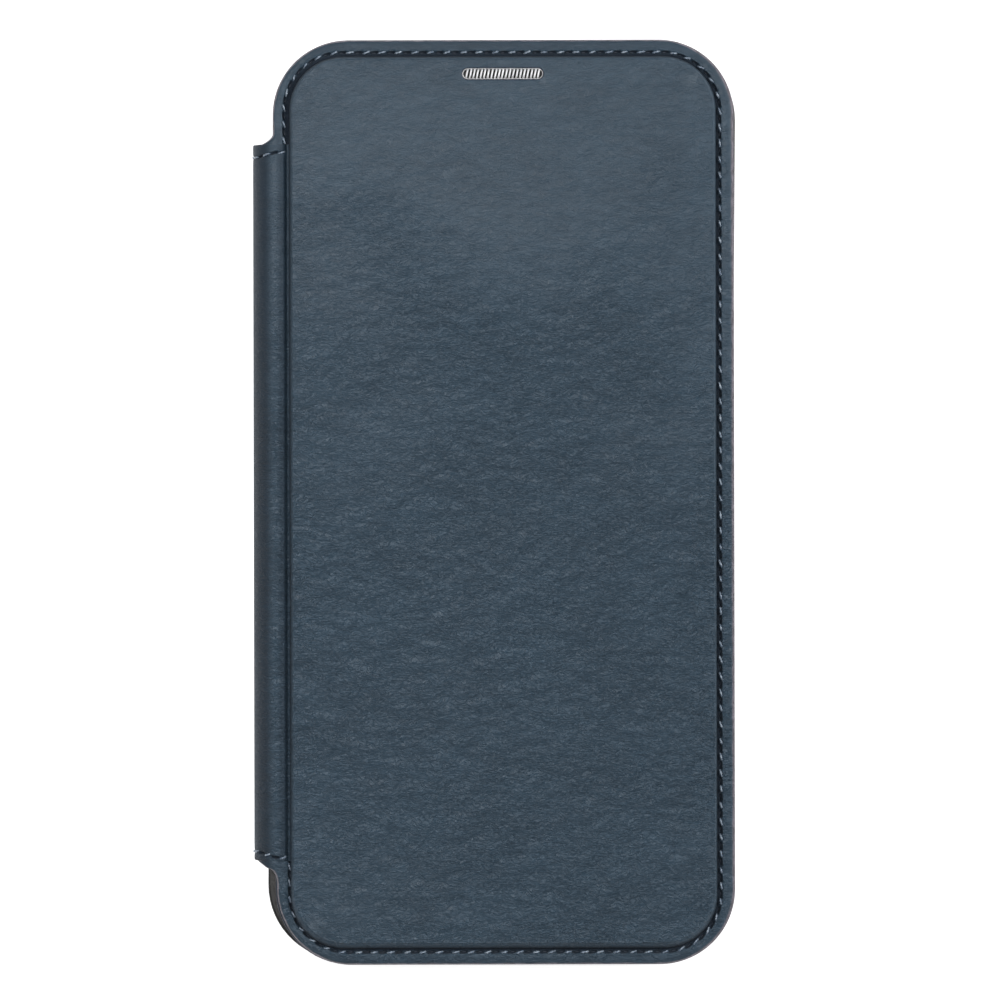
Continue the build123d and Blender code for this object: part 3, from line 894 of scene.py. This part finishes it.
def corner_arcs(shape, starts, steps=16):
    """Arcs round some of a rounded rectangle's corners, each told by its first angle in degrees."""
    left, right, lower, upper, corner = shape
    loop = []
    for start in starts:
        x = right - corner if start in (0, 270) else left + corner
        y = upper - corner if start in (0, 90) else lower + corner
        arc = arc_route(x, y, corner, start, start + 90, 0, steps)
        loop += [point[:2] for point in arc]
    return loop


def rounded_loop(shape, spacing, turn=0.0):
    """Points round a rounded rectangle, turned about the origin."""
    steps = math.ceil(shape[4] * math.pi / 2 / spacing)
    points = corner_arcs(shape, (270, 0, 90, 180), steps)
    found = []
    for a, b in zip(points, points[1:] + points[:1]):
        steps = max(1, round(math.dist(a, b) / spacing / 2))
        found += [(mix(a[0], b[0], n / steps), mix(a[1], b[1], n / steps)) for n in range(steps)]
    return [turned(x, y, turn) for x, y in found]


def grown(loop, margin):
    """An anticlockwise loop moved out by a margin."""
    found = []
    count = len(loop)
    for index, (x, y) in enumerate(loop):
        before, after = loop[index - 1], loop[(index + 1) % count]
        nx, ny = after[1] - before[1], before[0] - after[0]
        size = math.hypot(nx, ny) or 1.0
        found.append((x + margin * nx / size, y + margin * ny / size))
    return found


def back_profile(station, along, row_at, edge_at):
    """Rows of (distance out, height, tone, edge) down one column of the back. The tone is painted
    shade in the stitch holes and on the hidden seam row.
    """
    rows = [(0.0, 0.0, 0, 0)]
    if station[4]:
        seam = station[0] - BACK_SEAM_X
        count = 1 + len(BAND) + len(BACK_EDGE)
        rows += [(seam * (index + 1) / count, 0.0, 0, 0) for index in range(count)]
        return rows + [(seam, LEATHER, 0.3, 0)]
    rows.append(((row_at + BAND[0]) / 2, 0.0, 0, 0))
    for out in BAND:
        depth, dark = stitch_pit(along, out)
        rows.append((row_at + out, depth, dark, 0))
    rows.append((mix(row_at + BAND[-1], edge_at - 0.3, 0.5), 0.0, 0, 0))
    return rows + [(edge_at - inset, z, tone, edge) for inset, z, tone, edge in BACK_EDGE]


def back_skin(places, row):
    """The back's leather, with a painted edge round the camera window."""
    skin, loops = sewn_skin(places, row, BACK_SHAPE, back_profile)
    window = rounded_loop(BEZEL, 0.8, SKEW)
    rims = []
    # Round the camera window the leather carries a little painted shade.
    for margin, z, edge in BEZEL_EDGE:
        rims.append(skin.add([(x, y, z) for x, y in grown(window, margin)], 0.1, edge))
    skin.join(rims)
    skin.fill([loops[0], rims[0]], BACK_GRID, lambda x, y: 0.0)
    skin.fill([loops[-1], rims[-1]], BACK_HIDDEN_GRID, lambda x, y: LEATHER)
    return skin.make("back_skin")


def row_threads(places, row, face, height):
    """Places of the threads along a closed row, leaving out its open part. face is 1 for a row
    seen from above and -1 from below."""
    _, spots, lengths, count = row
    found = []
    for index in range(count):
        at = (index + 0.5) * PITCH
        near = min(range(len(lengths)), key=lambda n: abs(lengths[n] - at))
        _, _, nx, ny, is_open = places[near]
        if not is_open:
            found.append((Vector((*spots[near], height)), Vector((-ny, nx, 0)) * face,
                          Vector((0, 0, face))))
    return found


def line_threads(route, normal):
    """Places of threads evenly along an open route of points."""
    found = []
    lengths = [0.0]
    for a, b in zip(route, route[1:]):
        lengths.append(lengths[-1] + math.dist(a, b))
    count = round(lengths[-1] / PITCH)
    for index in range(count):
        at = lengths[-1] * (index + 0.5) / count
        after = next(n for n, length in enumerate(lengths) if length >= at)
        a, b = Vector(route[after - 1]), Vector(route[after])
        share = (at - lengths[after - 1]) / (lengths[after] - lengths[after - 1])
        found.append((a.lerp(b, share), (b - a).normalized(), normal))
    return found


def arc_route(x, y, radius, start, end, z, steps=16):
    """Points along an arc, between two angles in degrees."""
    angles = [math.radians(mix(start, end, n / steps)) for n in range(steps + 1)]
    return [(x + radius * math.cos(a), y + radius * math.sin(a), z) for a in angles]


# ---- flat sheets ----

LINING_LEFT = -38.25
POCKET_CORNER = 6.0
POCKET_SEAM = 1.4
# Each loop of a sheet's rounded edge: its inset and drop, as shares of the rounding, and its paint.
EDGE_TURNS = ((1.0, 0.0, 0.0), (0.35, 0.35, 0.6), (0.0, 1.0, 1.0))
SHEET_GRID = 5.0
SHEET_WAVE = 0.015


def level(x, y, base):
    """Height of a sheet that is never quite flat."""
    return base + SHEET_WAVE * math.sin(x * 0.3 + 0.5) * math.sin(y * 0.17 + 1.1)


def sheet_piece(name, loops, bottom, top, rounding=0.14):
    """A flat sheet with rounded cut edges. The first loop is its outline and the others are holes,
    all anticlockwise."""
    sheet = Surface()
    tops, bottoms = [], []
    for number, loop in enumerate(loops):
        inward = -1 if number == 0 else 1
        rings = []
        for base, down, turns in ((top, 1, EDGE_TURNS), (bottom, -1, EDGE_TURNS[::-1])):
            for inset, drop, edge in turns:
                ring = grown(loop, inward * inset * rounding)
                drop *= down * rounding
                points = [(x, y, level(x, y, base) - drop) for x, y in ring]
                rings.append(sheet.add(points, 0.0, edge))
        sheet.join(rings)
        tops.append(rings[0])
        bottoms.append(rings[-1])
    sheet.fill(tops, SHEET_GRID, lambda x, y: level(x, y, top))
    sheet.fill(bottoms, SHEET_GRID, lambda x, y: level(x, y, bottom))
    return sheet.make(name)


def cut_outline(corners, spacing):
    """Points along straight lines between corners."""
    found = []
    for a, b in zip(corners, corners[1:] + corners[:1]):
        steps = max(1, math.ceil(math.dist(a, b) / spacing))
        found += [(mix(a[0], b[0], n / steps), mix(a[1], b[1], n / steps)) for n in range(steps)]
    return found


def lining_loop():
    """The cover's outline, cut back beside the spine."""
    left, tab = COVER[0], SPINE_HALF + 0.3
    notch = [(left, tab), (LINING_LEFT, tab), (LINING_LEFT, -tab), (left, -tab)]
    return cut_outline(corner_arcs(COVER, (0, 90)) + notch + corner_arcs(COVER, (180, 270)), 2.5)


def pocket_loop(name, notch):
    """A pocket's outline, with a thumb cut-out in its left side where it has one."""
    low, high = box_mm(name)
    shape = (low.x, high.x, low.y, high.y, POCKET_CORNER)
    loop = corner_arcs(shape, (0, 90))
    if notch:
        thumb = arc_route(low.x, (low.y + high.y) / 2, notch, 90, -90, 0, 24)
        loop += [point[:2] for point in thumb]
    return cut_outline(loop + corner_arcs(shape, (180, 270)), 2.0)


def pocket_threads(name):
    """Threads round three sides of a pocket, seen from below."""
    low, high = box_mm(name)
    left, right = low.x + POCKET_SEAM, high.x - POCKET_SEAM
    lower, upper = low.y + POCKET_SEAM, high.y - POCKET_SEAM
    turn, z = POCKET_CORNER - POCKET_SEAM, low.z
    route = [(left, upper, z)]
    route += list(reversed(arc_route(right - turn, upper - turn, turn, 0, 90, z)))
    route += list(reversed(arc_route(right - turn, lower + turn, turn, -90, 0, z)))
    route.append((left, lower, z))
    return line_threads(route, DOWN)


# ---- the grille ----

BARS = 21
BAR_PITCH = 0.645
BAR_LEAN = math.radians(12)
BAR_WIDE = 0.19


def bar(grid, x, y, half, wide, low, high):
    """One slanted bar with a rounded top and rounded ends."""
    loops = []
    for inset, z in ((0.0, low), (0.0, high - 0.16), (0.05, high - 0.05), (0.12, high)):
        a, b = wide - inset, half - inset * 0.7
        outline = corner_arcs((-a, a, -b, b, 0.8 * a), (0, 90, 180, 270), 3)
        leaning = [turned(px, py, -BAR_LEAN) for px, py in outline]
        loops.append(grid.add([(x + px, y + py, z) for px, py in leaning]))
    grid.join(loops)
    grid.faces += [tuple(loops[-1]), tuple(reversed(loops[0]))]


def grille():
    """The earpiece grille: a rounded rim, and slanted bars across it."""
    grid = Surface()
    low, high = GRILLE_LOW.z, PANEL_TOP - 0.2
    rim = ((0.03, low), (0.03, high - 0.2), (0.0, high - 0.13), (-0.05, high - 0.11),
           (-0.1, high - 0.13), (-0.13, high - 0.2), (-0.14, low))
    rings = [grid.add(stadium(margin, z, 20)) for margin, z in rim]
    grid.join(rings + rings[:1])
    first = GRILLE_X - (BARS - 1) * BAR_PITCH / 2
    longest = GRILLE_TALL - 0.08
    rng = random.Random(11)
    for index in range(BARS):
        x = first + index * BAR_PITCH + rng.uniform(-0.03, 0.03)
        end = max(0.0, abs(x - GRILLE_X) - (GRILLE_HALF - GRILLE_TALL))
        tall = math.sqrt(max(longest ** 2 - end ** 2, 0.04))
        bar(grid, x, GRILLE_Y, tall, BAR_WIDE, low + 0.08, high + rng.uniform(-0.02, 0.01))
    return grid.make("grille_bars", sharp=50)


# ---- materials ----

def material(name):
    """A new material, its node tree and its main shader."""
    made = bpy.data.materials.new(name)
    made.use_nodes = True
    return made, made.node_tree, made.node_tree.nodes["Principled BSDF"]


def node(tree, kind, inputs=None, **settings):
    """Adds a node. A socket among the inputs is linked, and any other value is set."""
    made = tree.nodes.new("ShaderNode" + kind)
    for key, value in settings.items():
        setattr(made, key, value)
    for key, value in (inputs or {}).items():
        if isinstance(value, bpy.types.NodeSocket):
            tree.links.new(value, made.inputs[key])
        else:
            made.inputs[key].default_value = value
    return made


def math_node(tree, operation, first, second=0.0, third=0.0):
    """The result of one sum."""
    return node(tree, "Math", {0: first, 1: second, 2: third}, operation=operation).outputs[0]


def weighted(tree, *parts):
    """The sum of some values, each times its weight."""
    total = 0.0
    for value, weight in parts:
        total = math_node(tree, "MULTIPLY_ADD", value, weight, total)
    return total


def moved(tree, place, step):
    """The place moved by a step in metres."""
    return node(tree, "VectorMath", {0: place, 1: step}, operation="ADD").outputs[0]


def ramp(tree, value, low, high, start=0.0, end=1.0):
    """Maps a value between two limits to two others, smoothly and held at both ends."""
    made = node(tree, "MapRange", {"Value": value, "From Min": low, "From Max": high,
                                   "To Min": start, "To Max": end}, interpolation_type="SMOOTHSTEP")
    return made.outputs["Result"]


def blend_colour(tree, share, first, second):
    """A mix of two colours."""
    return node(tree, "Mix", {0: share, 6: first, 7: second}, data_type="RGBA").outputs[2]


def attribute(tree, name, output):
    """A value that Surface.make stored on the mesh."""
    return node(tree, "Attribute", attribute_name=name).outputs[output]


def scaled(tree, place, across, along, deep=1.0):
    """The place divided by feature sizes in millimetres."""
    sizes = [1 / (size * MM) for size in (across, along, deep)]
    return node(tree, "VectorMath", {0: place, 1: sizes}, operation="MULTIPLY").outputs[0]


def noise(tree, vector, detail=3.0, roughness=0.55, distortion=0.0):
    """Cloudy noise from 0 to 1."""
    made = node(tree, "TexNoise", {"Vector": vector, "Scale": 1.0, "Detail": detail,
                                   "Roughness": roughness, "Distortion": distortion})
    return made.outputs[0]


def linear(red, green, blue):
    """A colour given in sRGB from 0 to 255, as the shader wants it."""
    channels = []
    for value in (red, green, blue):
        share = value / 255
        channels.append(share / 12.92 if share <= 0.04045 else ((share + 0.055) / 1.055) ** 2.4)
    return (*channels, 1.0)


def bump(tree, shader, height, distance):
    """Small relief, with its full height in millimetres."""
    made = node(tree, "Bump", {"Height": height, "Distance": distance * MM, "Strength": 1.0})
    tree.links.new(made.outputs[0], shader.inputs["Normal"])


def finish(tree, shader, colour, roughness, settings):
    """Links the colour and the roughness, and sets the shader's other inputs."""
    tree.links.new(colour, shader.inputs["Base Color"])
    tree.links.new(roughness, shader.inputs["Roughness"])
    for key, value in settings.items():
        shader.inputs[key].default_value = value


def place_of(tree, own):
    """Where a point lay in the flat hide, or in the object for a mesh from the CAD."""
    if own:
        return attribute(tree, "flat_place", "Vector")
    return node(tree, "TexCoord").outputs["Object"]


LEATHER_LIGHT = linear(56, 80, 98)
LEATHER_DARK = linear(42, 63, 79)
# The colour that the tone mixes towards: painted shade.
LEATHER_PAINTED_SHADE = linear(0, 25, 43)
LEATHER_WORN = linear(104, 118, 130)
PAINTED_EDGE = linear(124, 117, 128)
PAINTED_DARK = linear(76, 72, 80)


def leather_relief(tree, place):
    """Wrinkles that run across the case, with their folds and broad waves, and shallow pores."""
    drift = noise(tree, scaled(tree, place, 3.6, 3.0, 9), 2.0)
    swing = node(tree, "CombineXYZ", {"Y": math_node(tree, "MULTIPLY", drift, 0.0024)}).outputs[0]
    bent = moved(tree, moved(tree, place, (0, 0.0012, 0)), swing)
    grain = noise(tree, scaled(tree, bent, 1.15, 0.32, 3), 2.0, 0.55, 0.4)
    folds = math_node(tree, "ABSOLUTE", math_node(tree, "SUBTRACT", grain, 0.5))
    folds = ramp(tree, folds, 0.0, 0.07)
    broad = noise(tree, scaled(tree, bent, 4.2, 1.2, 5), 3.0, 0.5, 0.3)
    pores = node(tree, "TexVoronoi", {"Vector": scaled(tree, bent, 0.5, 0.3, 1), "Scale": 1.0,
                                      "Randomness": 1.0}, feature="F1").outputs["Distance"]
    fine = noise(tree, scaled(tree, place, 0.16, 0.12, 1), 2.0)
    height = weighted(tree, (folds, 0.2), (grain, 1.2), (broad, 0.5),
                      (ramp(tree, pores, 0.0, 0.45), 0.14), (fine, 0.12))
    return height, grain, folds, broad


def looseness(tree, place):
    """How freely the leather wrinkles: in patches, and less towards the ends of the case."""
    along = node(tree, "SeparateXYZ", {0: place}).outputs["Y"]
    away = math_node(tree, "MULTIPLY_ADD", along, 10.0, 0.3)
    away = math_node(tree, "MULTIPLY", away, away)
    patches = noise(tree, scaled(tree, place, 26, 20, 20), 1.0)
    return ramp(tree, math_node(tree, "SUBTRACT", patches, away), -0.35, 0.55, 0.25, 1.0)


def leather_material():
    """Nappa with an uneven dye, painted at its cut edges, with painted shade in its wrinkle folds,
    channels, creases, stitch holes and round the spine.
    """
    made, tree, shader = material("navy_leather_look")
    place = place_of(tree, True)
    height, grain, folds, broad = leather_relief(tree, place)
    bump(tree, shader, math_node(tree, "MULTIPLY", height, looseness(tree, place)), 0.29)
    dye = noise(tree, scaled(tree, place, 16, 11, 12), 3.0)
    # Uneven dye, with painted shade along the wrinkle folds and in the low parts of the broad waves.
    shade = weighted(tree, (ramp(tree, dye, 0.3, 0.7), 0.35), (folds, 0.35),
                     (ramp(tree, broad, 0.35, 0.65), 0.3))
    colour = blend_colour(tree, shade, LEATHER_DARK, LEATHER_LIGHT)
    worn = ramp(tree, node(tree, "NewGeometry").outputs["Pointiness"], 0.5, 0.6, 0.0, 0.25)
    colour = blend_colour(tree, worn, colour, LEATHER_WORN)
    edge = attribute(tree, "edge", "Fac")
    paint = noise(tree, scaled(tree, place, 1.4, 1.4, 0.3), 3.0)
    paint = blend_colour(tree, ramp(tree, paint, 0.35, 0.65), PAINTED_EDGE, PAINTED_DARK)
    colour = blend_colour(tree, edge, colour, paint)
    # The tone mixes in painted shade: channels, creases, stitch holes and the spine's shoulder.
    tone = attribute(tree, "tone", "Fac")
    colour = blend_colour(tree, tone, colour, LEATHER_PAINTED_SHADE)
    rough = ramp(tree, grain, 0.3, 0.7, 0.5, 0.42)
    rough = math_node(tree, "MULTIPLY_ADD", edge, 0.15, rough)
    rough = math_node(tree, "MULTIPLY_ADD", tone, 0.35, rough)
    finish(tree, shader, colour, rough, {"Specular IOR Level": 0.6, "Sheen Weight": 0.06,
                                         "Sheen Roughness": 0.5})
    return made


def lining_material():
    """A thin split leather with a short suede nap."""
    made, tree, shader = material("lining_look")
    place = place_of(tree, True)
    nap = noise(tree, scaled(tree, place, 0.35, 0.9, 1), 4.0, 0.7)
    rubbed = noise(tree, scaled(tree, place, 9, 14, 5), 3.0, 0.6, 0.6)
    rubbed = ramp(tree, rubbed, 0.35, 0.65)
    colour = blend_colour(tree, rubbed, linear(52, 62, 74), linear(66, 78, 90))
    deep = math_node(tree, "MULTIPLY", ramp(tree, nap, 0.3, 0.7), 0.4)
    colour = blend_colour(tree, deep, colour, linear(40, 49, 60))
    edge = math_node(tree, "MULTIPLY", attribute(tree, "edge", "Fac"), 0.7)
    colour = blend_colour(tree, edge, colour, linear(92, 88, 98))
    bump(tree, shader, nap, 0.05)
    finish(tree, shader, colour, ramp(tree, nap, 0.3, 0.7, 0.72, 0.9),
           {"Sheen Weight": 0.25, "Sheen Roughness": 0.45})
    return made


def thread_material():
    """Bonded two-ply navy thread with a slight gloss along its fibres, painted lighter as a
    highlight, with painted glints.
    """
    made, tree, shader = material("thread_look")
    place = place_of(tree, True)
    fibre = noise(tree, scaled(tree, place, 0.5, 0.05, 0.6), 3.0, 0.6)
    # The navy thread is painted lighter blue-grey in patches, a painted highlight; the navy shows
    # between its fibres.
    patchy_highlight = ramp(tree, noise(tree, scaled(tree, place, 4, 4, 2.2), 1.0), 0.35, 0.65)
    colour = blend_colour(tree, patchy_highlight, linear(104, 128, 156), linear(170, 188, 206))
    colour = blend_colour(tree, math_node(tree, "MULTIPLY", fibre, 0.6), colour, linear(26, 44, 68))
    # Small bright flecks are painted glints.
    glints = noise(tree, scaled(tree, place, 0.16, 0.09, 0.5), 2.0)
    colour = blend_colour(tree, ramp(tree, glints, 0.5, 0.64), colour, linear(214, 224, 234))
    # Painted shade meant to darken the thread near the upper end; it reads Y of the flat place,
    # which runs across each thread, so it stays at zero.
    along = node(tree, "SeparateXYZ", {0: place}).outputs["Y"]
    dull = ramp(tree, along, 66 * MM, 78 * MM, 0.0, 0.72)
    colour = blend_colour(tree, dull, colour, linear(20, 42, 66))
    bump(tree, shader, fibre, 0.03)
    finish(tree, shader, colour, ramp(tree, fibre, 0.3, 0.7, 0.26, 0.42),
           {"Sheen Weight": 0.1, "Coat Weight": 0.6, "Coat Roughness": 0.16})
    return made


def rubber_material():
    """Black moulded rubber with a fine matt texture and faint rubs along its walls."""
    made, tree, shader = material("shell_look")
    place = place_of(tree, False)
    grain = noise(tree, scaled(tree, place, 0.12, 0.12, 0.12), 3.0)
    rubs = noise(tree, scaled(tree, place, 6, 0.5, 4), 4.0, 0.65, 0.4)
    cloud = noise(tree, scaled(tree, place, 14, 14, 9), 2.0)
    colour = blend_colour(tree, ramp(tree, rubs, 0.45, 0.75), linear(18, 16, 15), linear(40, 37, 34))
    colour = blend_colour(tree, math_node(tree, "MULTIPLY", cloud, 0.4), colour, linear(13, 12, 12))
    bump(tree, shader, math_node(tree, "MULTIPLY_ADD", rubs, 0.5, grain), 0.02)
    finish(tree, shader, colour, ramp(tree, rubs, 0.35, 0.7, 0.34, 0.52),
           {"Coat Weight": 0.1, "Coat Roughness": 0.25})
    return made


def metal_material(name, bright, dull, roughness, own):
    """Metal with fine brushing along Y and slight handling marks."""
    made, tree, shader = material(name)
    place = place_of(tree, own)
    brushed = noise(tree, scaled(tree, place, 0.05, 1.8, 1), 3.0, 0.6)
    marks = noise(tree, scaled(tree, place, 2.2, 2.2, 2.2), 3.0)
    colour = blend_colour(tree, ramp(tree, marks, 0.35, 0.7), bright, dull)
    bump(tree, shader, brushed, 0.008)
    rough = ramp(tree, brushed, 0.3, 0.7, roughness, roughness + 0.14)
    finish(tree, shader, colour, rough, {"Metallic": 1.0})
    return made


def fibre_material(name, light, dark, across, along, roughness, depth, own=False):
    """Board, foam and sheet stuff: short fibres or cells, with an uneven tone."""
    made, tree, shader = material(name)
    place = place_of(tree, own)
    fibres = noise(tree, scaled(tree, place, across, along, 0.4), 5.0, 0.7, 0.4)
    patches = noise(tree, scaled(tree, place, 7, 7, 3), 2.0)
    share = ramp(tree, weighted(tree, (fibres, 0.5), (patches, 0.5)), 0.3, 0.7)
    colour = blend_colour(tree, share, linear(*light), linear(*dark))
    bump(tree, shader, fibres, depth)
    rough = ramp(tree, fibres, 0.3, 0.7, roughness, roughness + 0.12)
    finish(tree, shader, colour, rough, {})
    return made


FLOOR_GLOW = 0.88
FLOOR_ROUGHNESS = 0.8


def floor_material():
    """A plain white table that lights up evenly, so the case throws no hard shadow."""
    made, tree, shader = material("floor_look")
    fleck = noise(tree, scaled(tree, place_of(tree, False), 3, 3, 3), 2.0)
    colour = blend_colour(tree, fleck, (0.9, 0.9, 0.9, 1), (0.93, 0.93, 0.93, 1))
    tree.links.new(colour, shader.inputs["Base Color"])
    shader.inputs["Roughness"].default_value = FLOOR_ROUGHNESS
    shader.inputs["Emission Color"].default_value = (1, 1, 1, 1)
    shader.inputs["Emission Strength"].default_value = FLOOR_GLOW
    return made


def paint(obj, look):
    """Gives an object one material, in every slot that it has."""
    if not obj.material_slots:
        obj.data.materials.append(look)
    for slot in obj.material_slots:
        slot.material = look
    for polygon in obj.data.polygons:
        polygon.material_index = 0


# ---- the pieces ----

leather = leather_material()
lining = lining_material()
thread = thread_material()
rubber = rubber_material()
steel = metal_material("grille_look", (0.94, 0.94, 0.95, 1), (0.86, 0.86, 0.87, 1), 0.36, True)
nickel = metal_material("magnet_look", (0.6, 0.59, 0.57, 1), (0.48, 0.47, 0.46, 1), 0.28, False)
board = fibre_material("board_look", (150, 145, 136), (120, 116, 110), 0.3, 0.9, 0.8, 0.05)
stiffener = fibre_material("stiffener_look", (92, 92, 96), (74, 74, 78), 0.6, 0.2, 0.5, 0.02)
foam = fibre_material("foam_look", (58, 58, 62), (40, 40, 44), 0.25, 0.25, 0.85, 0.12, True)
carrier = fibre_material("carrier_look", (26, 26, 27), (16, 16, 17), 0.2, 0.2, 0.45, 0.015)


def dress(obj, look, slot, *replaced):
    """Paints a piece and hides the CAD parts that it stands for."""
    paint(obj, look)
    if replaced:
        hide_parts(*replaced)


cover_places = stations(PANEL, COLUMN, (-TAB_START, TAB_START))
cover_row = sewn_row(cover_places, COVER_ROW)
cover = cover_skin(cover_places, cover_row)
dress(cover, leather, "navy_leather", "cover_leather")
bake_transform(cover)

cover_stitches = row_threads(cover_places, cover_row, 1, BORDER_TOP - 0.02)
cover_sewing = threads("cover_threads", cover_stitches, 3)
dress(cover_sewing, thread, "navy_thread", "cover_stitching")
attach(cover_sewing, "cover")

front, rear = front_profile(), rear_profile()
shoulder, shoulder_width = strip("spine_skin_front", front, 0.0, SPINE_HALF, LEATHER)
dress(shoulder, leather, "navy_leather", "spine_leather")
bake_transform(shoulder)

heel, heel_width = strip("spine_skin_rear", rear, shoulder_width, SPINE_HALF, LEATHER)
dress(heel, leather, "navy_leather")
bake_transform(heel)

spine_sewing = threads("spine_threads", spine_places([front, rear]), 5)
dress(spine_sewing, thread, "navy_thread", "spine_stitching")
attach(spine_sewing, "spine")

STIFFENER_INSET = 1.15
LINING_THICK = 0.35
LINING_HALF = SPINE_HALF - 0.3


def inner_profile(profile, keep):
    """The part of a profile that passes a test, moved in to the stiffener's inner side."""
    normals = profile_facts(profile)[1]
    return [(x - nx * STIFFENER_INSET, z - nz * STIFFENER_INSET)
            for (x, z), (nx, nz) in zip(profile, normals) if keep(x, z)]


inside_route = inner_profile(front, lambda x, z: x < -38.9)
inside_route += inner_profile(rear, lambda x, z: z > 1.3)[1:]
spine_inside, inside_width = strip("spine_lining_sheet", inside_route, 0.0, LINING_HALF,
                                   LINING_THICK, sewn=False)
dress(spine_inside, lining, "lining_leather", "spine_lining")
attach(spine_inside, "spine")

back_places = stations(BACK_INNER, COLUMN, (-SPINE_HALF, SPINE_HALF))
back_row = sewn_row(back_places, BACK_ROW)
back = back_skin(back_places, back_row)
dress(back, leather, "navy_leather", "back_leather")
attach(back, "shell")

# The back's seam turns off towards the spine at both ends of its open part.
SEAM_END_X = -41.0
SEAM_TURN_X = -40.7
SEAM_TURN = 3.5
back_stitches = row_threads(back_places, back_row, -1, BACK_THREAD_Z)
for row, turn in zip(SPINE_ROWS, (1, -1)):
    middle = row + turn * SEAM_TURN
    route = [(SEAM_END_X, row, BACK_THREAD_Z)]
    route += arc_route(SEAM_TURN_X, middle, SEAM_TURN, -90 * turn, 0, BACK_THREAD_Z)
    back_stitches += line_threads(route, DOWN)
back_sewing = threads("back_threads", back_stitches, 7)
dress(back_sewing, thread, "navy_thread", "back_stitching")
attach(back_sewing, "shell")

frame_low, frame_high = box_mm("grille_frame")
frame_corner = (frame_high.y - frame_low.y) / 2 - 0.01
frame_hole = rounded_loop((frame_low.x, frame_high.x, frame_low.y, frame_high.y, frame_corner), 0.5)
SOUND_HALF = 6.55
SOUND_TALL = 0.6
sound_shape = (GRILLE_X - SOUND_HALF, GRILLE_X + SOUND_HALF,
               GRILLE_Y - SOUND_TALL, GRILLE_Y + SOUND_TALL, SOUND_TALL - 0.01)
sound_hole = rounded_loop(sound_shape, 0.2)
foam_shape = (FOAM_LOW.x, FOAM_HIGH.x, FOAM_LOW.y, FOAM_HIGH.y, PANEL_CORNER - LEATHER)
foam_loops = [rounded_loop(foam_shape, 1.5), frame_hole]
pad = sheet_piece("foam_pad", foam_loops, FOAM_LOW.z, CEILING - 0.02, 0.08)
dress(pad, foam, "foam", "cover_foam")
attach(pad, "cover")


def add_sheet(name, loops, node_name):
    """A laid sheet that stands for a CAD node, and rides on the cover."""
    low, high = box_mm(node_name)
    piece = sheet_piece(name, loops, low.z + 0.02, high.z - 0.02)
    dress(piece, lining, "lining_leather", node_name)
    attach(piece, "cover")


THUMB = 9.0
add_sheet("cover_lining_sheet", [lining_loop(), sound_hole], "cover_lining")
add_sheet("cash_pocket_sheet", [pocket_loop("cash_pocket", 0)], "cash_pocket")
for place, width in (("rear", 63.0), ("front", 57.0)):
    loop = pocket_loop("card_pocket_" + place, THUMB)
    add_sheet("card_" + place + "_sheet", [loop], "card_pocket_" + place)

pocket_stitches = pocket_threads("card_pocket_front") + pocket_threads("cash_pocket")
pocket_sewing = threads("pocket_threads", pocket_stitches, 9)
dress(pocket_sewing, thread, "navy_thread", "pocket_stitching")
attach(pocket_sewing, "cover")

bars = grille()
dress(bars, steel, "grille_metal", "speaker_grille")
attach(bars, "cover")

for name in ("phone_tray", "power_button", "volume_up_button", "volume_down_button"):
    paint(nodes[name], rubber)
for name in ("keeper_upper", "keeper_lower", "magnet_upper", "magnet_lower"):
    paint(nodes[name], nickel)
for name in ("back_board", "cover_board"):
    paint(nodes[name], board)
paint(nodes["spine_stiffener"], stiffener)
paint(nodes["grille_frame"], carrier)

# ---- the floor, the lights and the camera ----

FLOOR_HALF = 1600
FLOOR_LINES = 9
FLOOR_Z = -0.1
floor_lines = straight(-FLOOR_HALF, FLOOR_HALF, 2 * FLOOR_HALF / (FLOOR_LINES - 1))
table = Surface()
table.add([(x, y, FLOOR_Z) for y in floor_lines for x in floor_lines])
table.faces = grid_faces(FLOOR_LINES, FLOOR_LINES)
floor = table.make("floor")
paint(floor, floor_material())


def soft_light(name, place, size, power):
    """An area light that faces the middle of the case."""
    light = bpy.data.lights.new(name, "AREA")
    light.shape = "RECTANGLE"
    light.size, light.size_y = size
    light.energy = power
    lamp = bpy.data.objects.new(name, light)
    lamp.location = place
    lamp.rotation_euler = (-Vector(place)).to_track_quat("-Z", "Y").to_euler()
    bpy.context.scene.collection.objects.link(lamp)


soft_light("overhead_light", (-0.2, 0.16, 1.1), (0.7, 0.7), 2.9)
soft_light("right_light", (1.54, 0.55, 1.47), (1.1, 0.9), 24.5)
soft_light("left_light", (-0.13, 0.0, 0.32), (0.14, 0.3), 0.32)

world = bpy.data.worlds.new("studio")
world.use_nodes = True
sky = world.node_tree.nodes["Background"]
sky.inputs["Color"].default_value = (0.95, 0.97, 1.0, 1)
sky.inputs["Strength"].default_value = 0.08
bpy.context.scene.world = world

VIEW_WIDTH = 0.18
CAMERA_HEIGHT = 3.0
CAMERA_SENSOR = 36.0
CAMERA_X = -0.3
CAMERA_Y = 0.4
CAMERA_ROLL = math.radians(-0.12)
camera_data = bpy.data.cameras.new("camera")
camera_data.sensor_width = CAMERA_SENSOR
camera_data.lens = CAMERA_SENSOR * CAMERA_HEIGHT / VIEW_WIDTH
camera_data.clip_end = 20
camera = bpy.data.objects.new("camera", camera_data)
camera.location = (CAMERA_X * MM, CAMERA_Y * MM, CAMERA_HEIGHT + BORDER_TOP * MM)
camera.rotation_euler = (0, 0, CAMERA_ROLL)
bpy.context.scene.collection.objects.link(camera)
bpy.context.scene.camera = camera
bpy.context.scene.view_settings.view_transform = "Standard"
